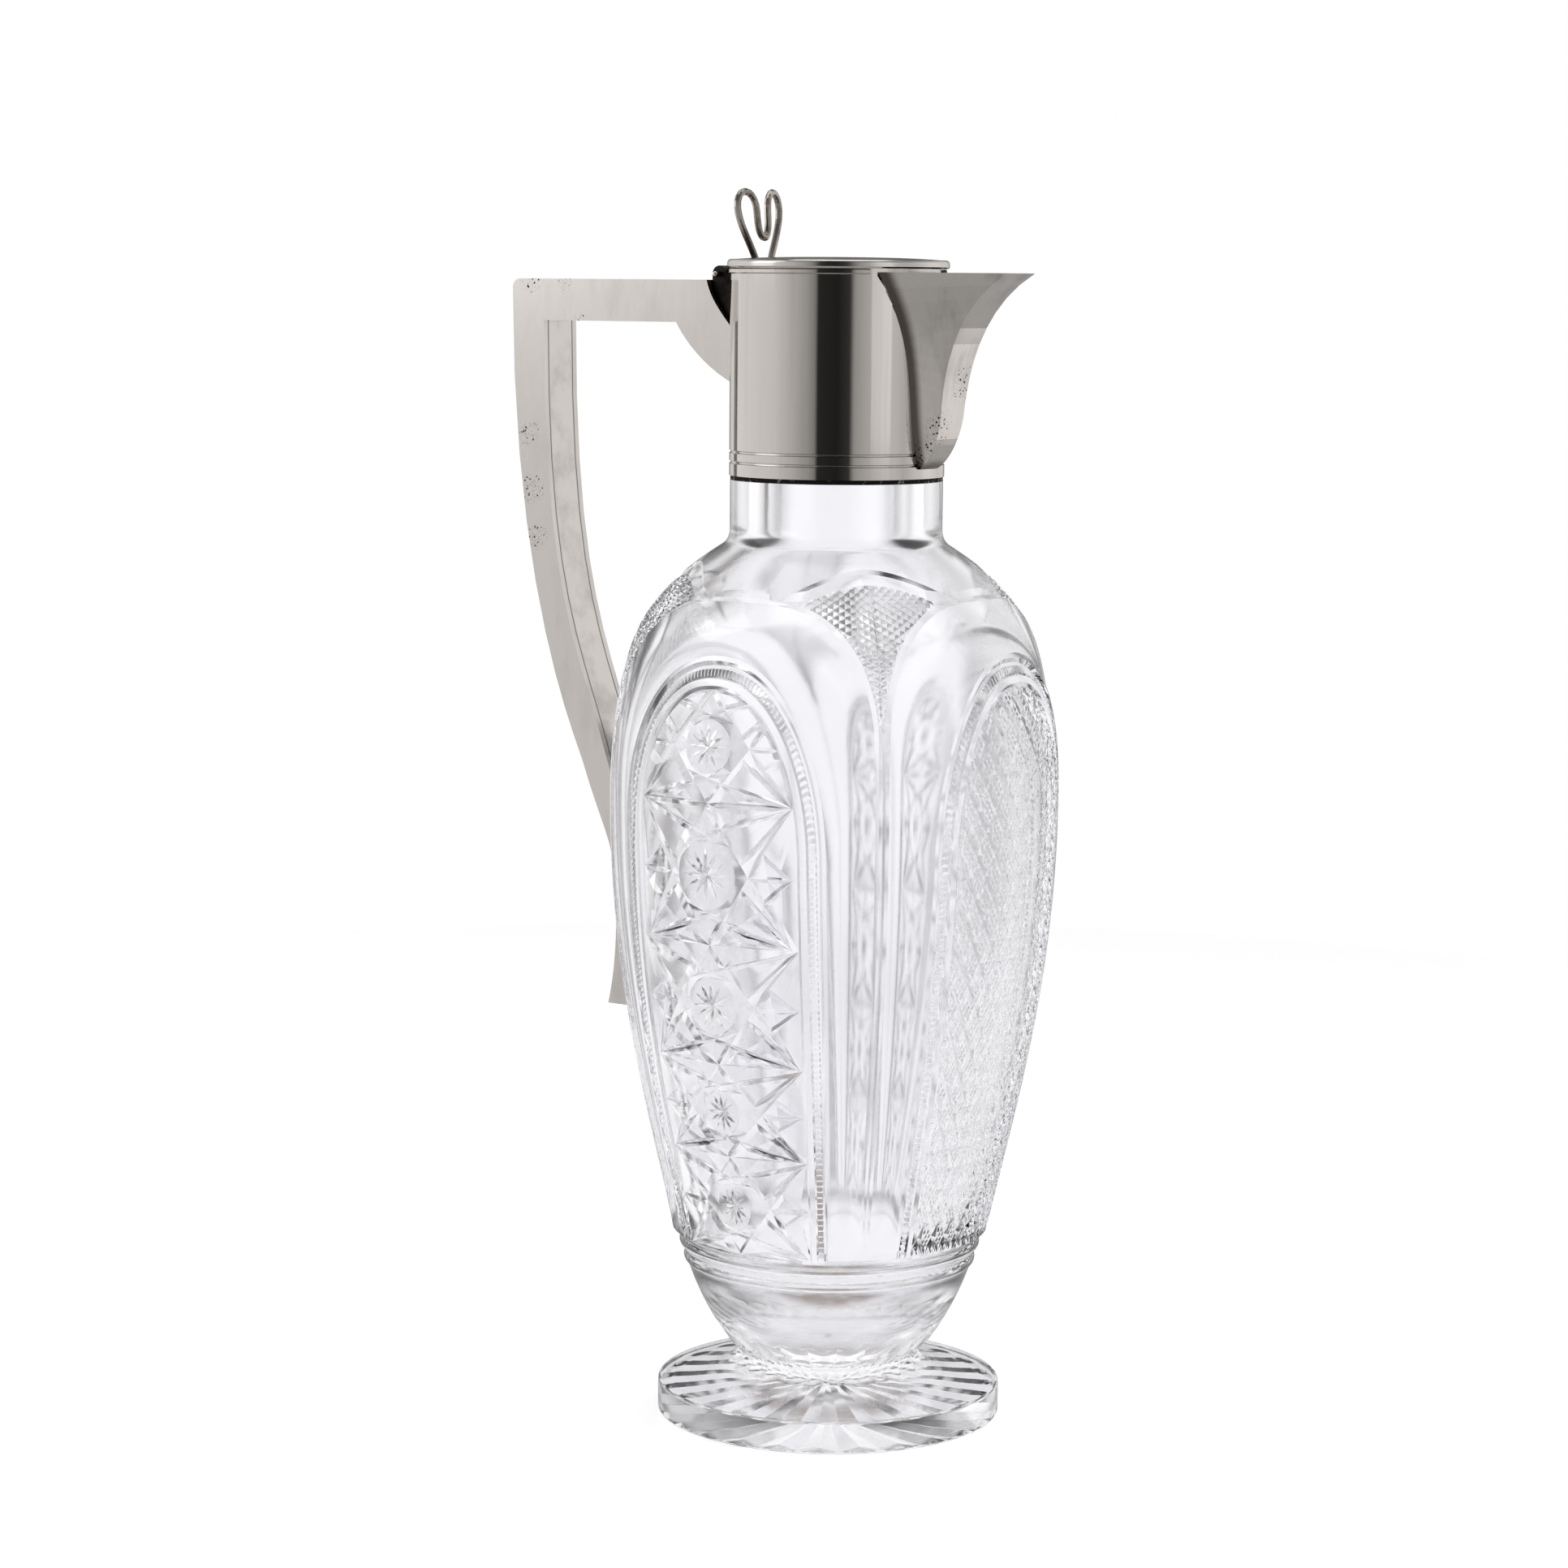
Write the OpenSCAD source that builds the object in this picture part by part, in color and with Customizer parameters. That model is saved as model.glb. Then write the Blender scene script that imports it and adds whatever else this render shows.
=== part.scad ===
// Claret jug: a cut-glass jug on a round glass foot, with a metal collar, a pouring spout,
// a box-section handle and a hinged flat lid with a heart-shaped wire thumbpiece.
// Units are millimetres. The origin is the centre of the foot's flat underside, +Z is up,
// +X points out through the spout, and the handle is on the -X side.

/* [Glass foot and bowl] */
// Radius of the round foot
foot_r = 42; // [36:0.5:52]
// Thickness of the foot at its rim
foot_rim_h = 8; // [6:0.5:12]
// Rounding of the foot's rim edges
foot_edge_r = 0.8; // [0.3:0.1:2]
// Height from the top of the foot's rim to the waist where the bowl starts
waist_rise = 6.6; // [5:0.2:10]
// Radius of the waist between foot and bowl
waist_r = 22.2; // [16:0.2:28]
// Height from the waist to the lower end of the cut panels
bowl_rise = 31.6; // [26:0.2:40]
// Radius of the bowl at the lower end of the cut panels
bowl_r = 38.6; // [34:0.2:46]
// Height from there to the widest level of the body
belly_rise = 107.3; // [85:0.5:130]
// Largest radius of the body
belly_r = 54.5; // [48:0.5:66]
// Height from the widest level to the root of the neck
shoulder_rise = 60; // [50:0.5:75]
// Radius of the two turned beads below the panels
bead_r = 1.3; // [0.9:0.1:1.6]

/* [Glass neck and cavity] */
// Outer radius of the glass neck
neck_r = 25.6; // [21:0.2:31]
// Height from the root of the neck to the collar's lower edge
neck_len = 16.5; // [12:0.5:24]
// Height of the glass rim above the collar's lower edge
rim_rise = 18; // [12:0.5:22]
// Radius of the bore through the neck
bore_r = 14; // [11:0.2:17]
// Widening of the bore at the glass rim
bore_flare = 2; // [0.5:0.1:3]
// Depth ground off the neck where the collar goes over it
grind_depth = 1.4; // [1:0.1:2]
// Thickness of the glass at the belly
belly_wall = 6; // [4:0.2:9]
// Height of the cavity's floor above the table
cavity_floor = 22.5; // [18:0.5:28]

/* [Collar] */
// Height of the collar
collar_len = 49.2; // [42:0.2:60]
// Thickness of the collar's metal
collar_wall = 0.8; // [0.5:0.05:1.2]
// Thickness of the plaster between glass and collar
plaster_t = 0.85; // [0.5:0.05:1.5]
// Height of plaster left showing below the collar
plaster_lip = 1.1; // [0.4:0.1:2]
// Height of the wire round the collar's top
rim_wire_h = 1.3; // [0.8:0.1:2]
// Projection of that wire
rim_wire_t = 0.4; // [0.2:0.05:0.5]
// Radius of each turned groove
groove_r = 0.35; // [0.2:0.05:0.5]
// Height of the lower groove above the collar's lower edge
groove_low = 3.2; // [2:0.1:4]
// Height of the upper groove above the collar's lower edge
groove_high = 5.7; // [5:0.1:8]

/* [Spout] */
// Reach of the spout's lip beyond the collar
spout_reach = 24.65; // [18:0.5:30]
// Height of the spout's root above the collar's lower edge
spout_root = 2.3; // [1.5:0.1:4]
// Drop from the collar's top to the spout's lip
spout_drop = 0.8; // [0.4:0.1:2]
// Half-width of the front strip at its root
front_half_root = 4; // [3:0.1:5]
// Half-width of the front strip at its lip
front_half_lip = 6.45; // [5.2:0.1:8]
// Half-angle on the collar that the spout takes at its root
seam_angle_root = 9; // [7:0.5:11]
// Half-angle on the collar that the spout takes at its top
seam_angle_top = 38.5; // [32:0.5:46]
// Thickness of the spout's metal
spout_wall = 0.9; // [0.6:0.05:1.2]
// Height of the mouth's sill above the glass rim
sill_rise = 2; // [1:0.5:5]

/* [Lid] */
// Overhang of the lid beyond the collar
lid_overhang = 0.75; // [0.5:0.05:1.5]
// Height of the lid's edge
lid_edge_h = 2; // [1.6:0.1:3]
// Rise of the lid's dome over its edge
lid_dome = 0.7; // [0.2:0.1:2]
// Width of the moulding round the lid's edge
lid_rim_w = 1.2; // [1:0.1:2]
// Gap between the closed lid and the collar
lid_gap = 0.1; // [0.05:0.05:0.3]
// Depth of the flange under the lid
bezel_h = 2; // [1.2:0.1:3]
// Thickness of that flange
bezel_wall = 1; // [0.7:0.1:1.4]
// Side clearance between that flange and the collar
bezel_clear = 0.5; // [0.4:0.05:0.9]

/* [Thumbpiece] */
// Half-width of the wire heart along each swept lobe
heart_half = 9; // [7:0.1:11]
// Height of the heart's widest place above the lid
heart_waist_h = 12.4; // [9:0.1:15]
// Height of the lobes above that place
heart_lobe_h = 3.9; // [3:0.1:5]
// Radius of the wire
heart_wire_r = 0.85; // [0.6:0.05:1]
// Distance from the lid's edge to the wire's feet
heart_inset = 5.4; // [4.5:0.1:7]
// Angle by which each lobe sweeps back towards the hinge
heart_sweep = 9.5; // [0:0.5:15]
// Distance by which the lobes lean back at their top
heart_lean = 1; // [0:0.1:2]

/* [Hinge] */
// Distance from the collar to the hinge pin
hinge_reach = 5.35; // [4.6:0.05:5.6]
// Drop from the collar's top to the hinge pin
hinge_drop = 1.4; // [1:0.05:1.8]
// Radius of the knuckles
knuckle_r = 2.05; // [1.7:0.05:2.4]
// Half-width of the lid's middle knuckle
lid_knuckle_half = 1.85; // [1.4:0.05:2.4]
// Radius of the pin
pin_r = 0.7; // [0.5:0.05:0.9]
// Length of pin that stands out at each end
pin_end = 2.6; // [0.6:0.1:3.2]
// Running clearance round the pin
pin_clear = 0.05; // [0.03:0.01:0.08]
// Gap between the faces of neighbouring knuckles
knuckle_gap = 0.15; // [0.1:0.05:0.3]
// Thickness of the leaf that carries the lid
leaf_t = 1.5; // [1:0.1:1.8]

/* [Handle] */
// Width of the handle across the jug
handle_w = 13.4; // [11:0.2:16]
// Thickness of the two side plates
side_t = 1.6; // [1.2:0.1:2]
// Thickness of the strips between the side plates
strip_t = 1.2; // [0.8:0.1:1.5]
// Reach of the handle's back from the jug's axis
handle_reach = 92.9; // [86:0.5:112]
// Drop from the collar's top to the handle's top bar
bar_drop = 2.8; // [2.4:0.1:4]
// Height of the top bar
bar_h = 10.3; // [8:0.1:12.5]
// Depth of the grip below the top bar
grip_depth = 9.75; // [8:0.1:12]
// Depth of the grip beside the widest level of the body
mid_depth = 7.2; // [6:0.1:9]
// Depth of the grip at the heel
heel_depth = 5.55; // [4.5:0.1:7]
// Gap between grip and glass beside the widest level of the body
mid_gap = 9.1; // [7:0.1:12]
// Distance of the heel's inner face outside the body's largest radius
heel_gap = 0.3; // [0.3:0.05:3]
// Drop from the widest level of the body to the heel
heel_drop = 36; // [28:0.5:42]
// Drop from the widest level of the body to the handle's toe
toe_drop = 58; // [50:0.5:70]
// Flare of the toe beyond the heel
toe_flare = 2.4; // [0:0.1:5]
// Outside corner radius at the top of the handle
corner_r = 2.2; // [1.6:0.1:4]
// Length of the bracket under the top bar
bracket_len = 16.9; // [12:0.1:22]
// Height of that bracket
bracket_h = 15; // [12:0.1:20]
// Length of the notch that holds the hinge
notch_len = 7.9; // [7.8:0.1:9.4]
// Depth of that notch
notch_h = 13; // [10:0.1:15]

/* [Hidden] */

$fn = 96;
// Clearance left between neighbours that are soldered or cemented together
seat_gap = 0.04;
// Overrun that takes a cut right through what it cuts
cut = 1;
// Points on each stretch of a curve
curve_n = 10;
// Sides of the thumbpiece's wire
wire_sides = 12;
// Clearance between a moving hinge part and the metal beside it
swing_clear = 0.3;
// Clearance between the hinge and the handle's side plates
hinge_side_clear = 0.2;
// Distance by which the plaster stays inside the collar's outer face
plaster_inset = 0.3;
// Depth below the collar's face to which the spout's sides are drawn before they are trimmed
seam_depth = 0.8;

// Levels up the jug
waist_z = foot_rim_h + waist_rise;
panel_z = waist_z + bowl_rise;
belly_z = panel_z + belly_rise;
neck_z = belly_z + shoulder_rise;
collar_z = neck_z + neck_len;
collar_top = collar_z + collar_len;
glass_rim_z = collar_z + rim_rise;
plaster_z = collar_z - plaster_lip;
lid_z = collar_top + lid_gap;
lid_edge_z = lid_z + lid_edge_h;
lid_top_z = lid_edge_z + lid_dome;

// Radii that fit inside one another at the neck
ground_r = neck_r - grind_depth;
collar_in = ground_r + plaster_t;
collar_r = collar_in + collar_wall;
lid_r = collar_r + lid_overhang;
plate_r = lid_r - lid_rim_w;
bezel_r = collar_in - bezel_clear;

// Hinge axis, as a distance from the jug's axis and a height
hinge_u = collar_r + hinge_reach;
hinge_z = collar_top - hinge_drop;
block_top = hinge_z - knuckle_r - swing_clear;
hinge_half = handle_w / 2 - side_t - hinge_side_clear;

// Levels of the handle
bar_top = collar_top - bar_drop;
bar_bottom = bar_top - bar_h;
heel_z = belly_z - heel_drop;
toe_z = belly_z - toe_drop;
notch_z = bar_top - notch_h;
bracket_z = bar_bottom - bracket_h;

// Spout levels
root_z = collar_z + spout_root;
lip_z = collar_top - spout_drop;
sill_z = glass_rim_z + sill_rise;

// ---- curves ----

// One cubic stretch from a to d, with its handles at b and c; a itself is left out
function curve(a, b, c, d) = [
    for (i = [1:curve_n])
        let (t = i / curve_n, s = 1 - t)
            s * s * s * a + 3 * s * s * t * b + 3 * s * t * t * c + t * t * t * d
];

// A quarter turn of radius r from angle a0 to a1 about c
function arc(c, r, a0, a1, n = 6) = [
    for (i = [0:n]) let (a = a0 + (a1 - a0) * i / n) c + r * [cos(a), sin(a)]
];

function back_to_front(p) = [for (i = [len(p) - 1:-1:0]) p[i]];

// A line of points moved sideways by t, to the right of its direction
function beside(p, t) = [
    for (i = [0:len(p) - 1])
        let (d = p[min(i + 1, len(p) - 1)] - p[max(i - 1, 0)])
            p[i] + t * [d[1], -d[0]] / norm(d)
];

// A flat outline made solid across the jug, w wide and centred on it
module across(w) {
    rotate([90, 0, 0]) linear_extrude(height = w, center = true) children();
}

// A solid through sections of equal point count, each counter-clockwise seen from the last one
module loft(sections) {
    n = len(sections[0]);
    last = len(sections) - 1;
    sides = [
        for (i = [0:last - 1], j = [0:n - 1])
            let (a = i * n + j, b = i * n + (j + 1) % n)
                each [[a, b + n, b], [a, a + n, b + n]]
    ];
    ends = [[for (j = [0:n - 1]) j], [for (j = [n - 1:-1:0]) last * n + j]];
    polyhedron([for (s = sections) each s], concat(sides, ends));
}

// The cylinder of the collar's outside, which the soldered parts are shaped to
module collar_solid() {
    translate([0, 0, plaster_z]) cylinder(r = collar_r + seat_gap, h = collar_len + 2 * plaster_lip);
}

// ---- glass ----

// Where the bowl's curve leaves the knop above the waist, and where it reaches the beads
knop = [waist_r + 2.6, waist_z + 3.4];
bead_root = [bowl_r - 2.6, panel_z - 5.2];
// Root of the neck
neck_root = [neck_r + 1.6, neck_z];

function foot_outline() = concat(
    [[0, 0]],
    arc([foot_r - foot_edge_r, foot_edge_r], foot_edge_r, -90, 0),
    arc([foot_r - foot_edge_r, foot_rim_h - foot_edge_r], foot_edge_r, 0, 90),
    curve([foot_r - foot_edge_r, foot_rim_h], [waist_r + 9, foot_rim_h + 0.2],
        [waist_r + 1, waist_z - 4], [waist_r, waist_z])
);

function bowl_outline() = concat(
    curve([waist_r, waist_z], [waist_r, waist_z + 1.6], knop - [1, 1.1], knop),
    curve(knop, knop + [4.7, 6.5], bead_root - [2.8, 9.5], bead_root),
    [[bead_root[0] + 0.1, panel_z - 1.6], [bowl_r, panel_z]],
    curve([bowl_r, panel_z], [bowl_r + 8, panel_z + 34.6],
        [belly_r, belly_z - 42.8], [belly_r, belly_z]),
    curve([belly_r, belly_z], [belly_r, belly_z + 40], neck_root + [15.3, -9.9], neck_root),
    curve(neck_root, neck_root + [-0.9, 0.6], [neck_r, neck_z + 2], [neck_r, neck_z + 3.5])
);

function neck_outline() = concat(
    [[neck_r, plaster_z], [ground_r, plaster_z]],
    arc([ground_r - 1, glass_rim_z - 1], 1, 0, 90),
    [[bore_r + bore_flare, glass_rim_z]],
    curve([bore_r + bore_flare, glass_rim_z], [bore_r + bore_flare, glass_rim_z - 3],
        [bore_r, glass_rim_z - 4], [bore_r, glass_rim_z - 8])
);

function cavity_outline() = concat(
    [[bore_r, neck_z + 4]],
    curve([bore_r, neck_z + 4], [neck_r + 10, neck_z - 15],
        [belly_r - belly_wall, belly_z + 33], [belly_r - belly_wall, belly_z]),
    curve([belly_r - belly_wall, belly_z], [belly_r - belly_wall, belly_z - 43],
        [bowl_r - belly_wall + 8, panel_z + 30], [bowl_r - belly_wall, panel_z]),
    curve([bowl_r - belly_wall, panel_z], [bowl_r - belly_wall - 3.5, panel_z - 13],
        [waist_r - 2, cavity_floor], [0, cavity_floor])
);

module glass_body() {
    color("#dfe9e8", 0.55) rotate_extrude() {
        polygon(concat(foot_outline(), bowl_outline(), neck_outline(), cavity_outline()));
        translate([bead_root[0] - 0.4, panel_z - 3.5]) circle(r = bead_r);
        translate([bead_root[0] - 1.5, panel_z - 7.4]) circle(r = bead_r);
    }
}

module plaster_bed() {
    inner = ground_r + seat_gap;
    outer = collar_r - plaster_inset;
    color("#b9b1a0") rotate_extrude() polygon([
        [inner, plaster_z + seat_gap], [outer, plaster_z + seat_gap],
        [outer, collar_z - seat_gap], [collar_in - seat_gap, collar_z - seat_gap],
        [collar_in - seat_gap, glass_rim_z - 2], [inner, glass_rim_z - 2]
    ]);
}

// ---- spout curves, shared by the spout and the collar's mouth ----

// Where the front strip turns from its steep foot to its sweep, beyond the collar and in height
mid_u = 6.45;
mid_z = root_z + 12.2;

// The middle of the front strip, as [distance beyond the collar, height]
front_line = concat(
    [[0, root_z]],
    curve([0, root_z], [2.75, root_z + 1.6], [mid_u - 1, root_z + 6.2], [mid_u, mid_z]),
    curve([mid_u, mid_z], [mid_u + 0.7, mid_z + 9.5], [mid_u + 3.2, lip_z - 8.4],
        [spout_reach, lip_z])
);
front_inner = beside(front_line, -spout_wall);

// The seam on the collar, as [half-angle, height]
seam_mid = seam_angle_root + 7.6;
seam_line = concat(
    [[seam_angle_root, root_z]],
    curve([seam_angle_root, root_z], [seam_angle_root + 4.5, root_z + 4.2],
        [seam_mid - 1.6, root_z + 9.7], [seam_mid, root_z + 17.2]),
    curve([seam_mid, root_z + 17.2], [seam_mid + 2.2, root_z + 26.7],
        [seam_mid + 4.4, lip_z - 13.9], [seam_angle_top, lip_z])
);
rows = len(front_line) - 1;

function front_half(z) =
    front_half_root + (front_half_lip - front_half_root) * pow((z - root_z) / (lip_z - root_z), 0.6);

function crease(i, side) =
    [collar_r + front_line[i][0], side * front_half(front_line[i][1]), front_line[i][1]];

function crease_inner(i, side) = [
    collar_r + front_inner[i][0],
    side * (front_half(front_line[i][1]) - spout_wall),
    front_inner[i][1]
];

// A point on the left seam, t inside the panel's outer face
function seam(i, t) =
    let (r = collar_r - seam_depth, a = seam_line[i][0])
        [r * cos(a), t - r * sin(a), seam_line[i][1]];

// What is trimmed off the soldered spout: the collar, and all above the lip
module spout_trim() {
    collar_solid();
    translate([0, -50, lip_z]) cube([collar_r + spout_reach + 10, 100, 20]);
}

module spout_side_left() {
    color("#b8b4ae") difference() {
        loft([
            for (i = [0:rows])
                [crease_inner(i, -1), seam(i, spout_wall), seam(i, 0), crease(i, -1)]
        ]);
        spout_trim();
    }
}

module spout_side_right() {
    mirror([0, 1, 0]) spout_side_left();
}

module spout_front_strip() {
    color("#a9a6a1") difference() {
        loft([
            for (i = [0:rows])
                [crease(i, -1), crease(i, 1), crease_inner(i, 1), crease_inner(i, -1)]
        ]);
        spout_trim();
    }
}

// ---- collar ----

// The wedge that the mouth takes out of the collar, between the spout's two sides
module mouth_cutter() {
    far = collar_r + cut;
    inside = asin(spout_wall / collar_r);
    levels = concat(seam_line, [[seam_angle_top, collar_top + cut]]);
    intersection() {
        loft([
            for (p = levels)
                let (a = p[0] - inside)
                    [[0, 0, p[1]], far / cos(a) * [cos(a), -sin(a), 0] + [0, 0, p[1]],
                        far / cos(a) * [cos(a), sin(a), 0] + [0, 0, p[1]]]
        ]);
        translate([0, -collar_r, sill_z]) cube([2 * collar_r, 2 * collar_r, collar_len]);
    }
}

module collar_band() {
    color("#bdb9b3") difference() {
        translate([0, 0, collar_z]) cylinder(r = collar_r, h = collar_len);
        translate([0, 0, collar_z - cut]) cylinder(r = collar_in, h = collar_len + 2 * cut);
        for (h = [groove_low, groove_high])
            rotate_extrude() translate([collar_r, collar_z + h]) circle(r = groove_r);
        mouth_cutter();
    }
}

module collar_rim_wire() {
    r = collar_r + seat_gap;
    clear = seam_angle_top + 2;
    color("#c6c2bb") rotate([0, 0, clear]) rotate_extrude(angle = 360 - 2 * clear) polygon([
        [r, collar_top - rim_wire_h], [r + rim_wire_t, collar_top - 0.8 * rim_wire_h],
        [r + rim_wire_t, collar_top - 0.2 * rim_wire_h], [r, collar_top]
    ]);
}

// ---- handle ----
// Outlines are written as [distance from the jug's axis, height] and turned to the -X side.

// Places on the grip beside the widest level of the body, and at the heel
grip_front = handle_reach - grip_depth;
mid_back = [belly_r + mid_gap + mid_depth, belly_z + 2.5];
mid_front = [belly_r + mid_gap, belly_z + 4.5];
heel_front = [belly_r + heel_gap, heel_z + 3.5];
heel_back = [belly_r + heel_gap + heel_depth, heel_z];
toe_back = [heel_back[0] + toe_flare, toe_z];
toe_front = toe_back - [heel_depth, 0];

// Where the top strip ends and the back strip begins
back_start = handle_reach - corner_r - strip_t;
back_line = concat(
    [[back_start, bar_top]],
    arc([handle_reach - corner_r, bar_top - corner_r], corner_r, 90, 0),
    curve([handle_reach, bar_top - corner_r], [handle_reach, mid_back[1] + 41],
        mid_back + [2.2, 6], mid_back),
    curve(mid_back, mid_back - [7.4, 20], heel_back + [0, 20], heel_back),
    curve(heel_back, heel_back - [0, 9], toe_back + [-1.5, 6], toe_back)
);

front_line_grip = concat(
    [[grip_front, bar_bottom]],
    curve([grip_front, bar_bottom], [grip_front, mid_front[1] + 39.5],
        mid_front + [8.8, 27.6], mid_front),
    curve(mid_front, mid_front - [3.8, 12], heel_front + [0, 20], heel_front),
    curve(heel_front, heel_front - [0, 9], toe_front + [-1.8, 6.5], toe_front)
);

bracket_root = [collar_r + bracket_len, bar_bottom];
bracket_line = concat(
    [bracket_root],
    curve(bracket_root, bracket_root - [2.1, 3.7], [collar_r + 8.7, bracket_z + 4.1],
        [collar_r - 1, bracket_z])
);

notch_root = [collar_r + notch_len, bar_top];
notch_line = concat(
    [notch_root],
    curve(notch_root, notch_root - [0.9, 3.8], [collar_r + 4.6, notch_z + 5.9],
        [collar_r - 1, notch_z])
);

module turned(p) {
    polygon([for (q = p) [-q[0], q[1]]]);
}

module handle_outline() {
    turned(concat(back_line, back_to_front(front_line_grip), bracket_line, back_to_front(notch_line)));
}

module back_outline() {
    turned(concat(back_line, back_to_front(beside(back_line, strip_t))));
}

module front_outline() {
    turned(concat(front_line_grip, back_to_front(beside(front_line_grip, -strip_t))));
}

module handle_side(side) {
    difference() {
        translate([0, side * (handle_w - side_t) / 2, 0]) across(side_t) handle_outline();
        collar_solid();
    }
}

module handle_strip() {
    color("#a7a39e") across(handle_w - 2 * side_t) children();
}

module handle_side_left() {
    color("#b5b0ae") handle_side(-1);
}

module handle_side_right() {
    color("#b5b0ae") handle_side(1);
}

module handle_top_strip() {
    handle_strip() turned([
        notch_root, [back_start, bar_top], [back_start, bar_top - strip_t],
        notch_root - [0, strip_t]
    ]);
}

module handle_back_strip() {
    handle_strip() back_outline();
}

module handle_under_strip() {
    far = grip_front + strip_t;
    handle_strip() turned([
        bracket_root, [far, bar_bottom], [far, bar_bottom + strip_t], bracket_root + [0, strip_t]
    ]);
}

module handle_front_strip() {
    handle_strip() front_outline();
}

module handle_bracket_strip() {
    difference() {
        handle_strip() turned(concat(bracket_line, back_to_front(beside(bracket_line, strip_t))));
        collar_solid();
    }
}

module handle_toe_cap() {
    handle_strip() difference() {
        intersection() {
            handle_outline();
            translate([-handle_reach, toe_z - cut]) square([handle_reach, strip_t + cut]);
        }
        back_outline();
        front_outline();
    }
}

// ---- hinge ----

// A cylinder along the hinge axis, between two distances from the jug's middle plane
module hinge_rod(r, from, to) {
    translate([-hinge_u, to, hinge_z]) rotate([90, 0, 0]) cylinder(r = r, h = to - from);
}

module hinge_block() {
    color("#4b4743") difference() {
        across(2 * hinge_half) intersection() {
            translate([swing_clear, 0]) turned(concat(notch_line, [[collar_r - 1, bar_top]]));
            translate([-hinge_u - knuckle_r - cut, notch_z])
                square([2 * hinge_u, block_top - notch_z]);
        }
        collar_solid();
    }
}

module hinge_knuckles() {
    inner = lid_knuckle_half + knuckle_gap;
    color("#4b4743") for (side = [-1, 1])
        difference() {
            union() {
                hinge_rod(knuckle_r, min(side * inner, side * hinge_half),
                    max(side * inner, side * hinge_half));
                translate([-hinge_u - knuckle_r, side > 0 ? inner : -hinge_half, block_top])
                    cube([2 * knuckle_r, hinge_half - inner, hinge_z - block_top]);
            }
            hinge_rod(pin_r + seat_gap / 2, -hinge_half - cut, hinge_half + cut);
        }
}

module hinge_pin() {
    half = hinge_half + pin_end;
    color("#8d8984") translate([-hinge_u, 0, hinge_z]) rotate([90, 0, 0]) rotate_extrude() polygon(
        concat([[0, -half]], arc([0, -half + pin_r], pin_r, -60, 0), arc([0, half - pin_r], pin_r, 0, 60),
            [[0, half]])
    );
}

module lid_hinge_leaf() {
    lift = hinge_z + knuckle_r;
    end = lid_r - cut;
    color("#55504b") difference() {
        union() {
            hinge_rod(knuckle_r, -lid_knuckle_half, lid_knuckle_half);
            across(2 * lid_knuckle_half) turned([
                [hinge_u, lift], [end, lid_edge_z - 0.2], [end, lid_edge_z - 0.2 - leaf_t],
                [hinge_u - 0.8 * knuckle_r, lift - leaf_t], [hinge_u, hinge_z]
            ]);
        }
        hinge_rod(pin_r + pin_clear, -lid_knuckle_half - cut, lid_knuckle_half + cut);
        translate([0, 0, lid_z - cut]) cylinder(r = lid_r + seat_gap, h = lid_edge_h + 2 * cut);
    }
}

// ---- lid ----

module lid_plate() {
    color("#c2beb8") rotate_extrude() polygon(concat(
        [[0, lid_z], [plate_r, lid_z], [plate_r, lid_edge_z]],
        curve([plate_r, lid_edge_z], [0.8 * plate_r, lid_top_z - 0.3 * lid_dome],
            [0.5 * plate_r, lid_top_z], [0, lid_top_z])
    ));
}

module lid_rim() {
    inner = plate_r + seat_gap;
    color("#cbc7c0") rotate_extrude() polygon(concat(
        [[inner, lid_z], [lid_r - 0.3, lid_z], [lid_r, lid_z + 0.4]],
        arc([lid_r - 0.9, lid_edge_z - 0.85], 0.9, 0, 90),
        [[inner, lid_edge_z]]
    ));
}

module lid_bezel() {
    color("#a9a6a1") translate([0, 0, lid_z - bezel_h]) difference() {
        cylinder(r = bezel_r, h = bezel_h);
        translate([0, 0, -cut]) cylinder(r = bezel_r - bezel_wall, h = bezel_h + 2 * cut);
    }
}

// ---- thumbpiece ----

// One lobe of the heart from its foot to the dip in the middle: [sideways, height]
heart_top = heart_waist_h + heart_lobe_h;
heart_line = concat(
    [[2.9, -cut]],
    curve([2.9, -cut], [4.4, 3.2], [heart_half, heart_waist_h - 4.4], [heart_half, heart_waist_h]),
    curve([heart_half, heart_waist_h], [heart_half, heart_waist_h + 4 / 3 * heart_lobe_h],
        [2.4, heart_waist_h + 4 / 3 * heart_lobe_h], [2.4, heart_waist_h - 1]),
    curve([2.4, heart_waist_h - 1], [2.4, heart_waist_h - 4.9], [1.6, 5.3], [0, 5.3])
);
heart_foot = lid_r - heart_inset;

function heart_point(p, side) = [
    -heart_foot - p[0] * sin(heart_sweep) - heart_lean * pow(max(p[1], 0) / heart_top, 2),
    side * p[0] * cos(heart_sweep),
    lid_edge_z + p[1]
];

// The whole wire, from the left foot over both lobes to the right foot
function heart_path() = concat(
    [for (p = heart_line) heart_point(p, -1)],
    [for (i = [len(heart_line) - 2:-1:0]) heart_point(heart_line[i], 1)]
);

function unit(v) = v / norm(v);

// A ring of points round path point i, square to the wire
function wire_ring(path, i) =
    let (
        d = unit(path[min(i + 1, len(path) - 1)] - path[max(i - 1, 0)]),
        a = unit(cross([1, 0, 0], d)),
        b = cross(d, a)
    )
    [for (k = [0:wire_sides - 1])
        let (t = 360 * k / wire_sides) path[i] + heart_wire_r * (cos(t) * a + sin(t) * b)];

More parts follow.
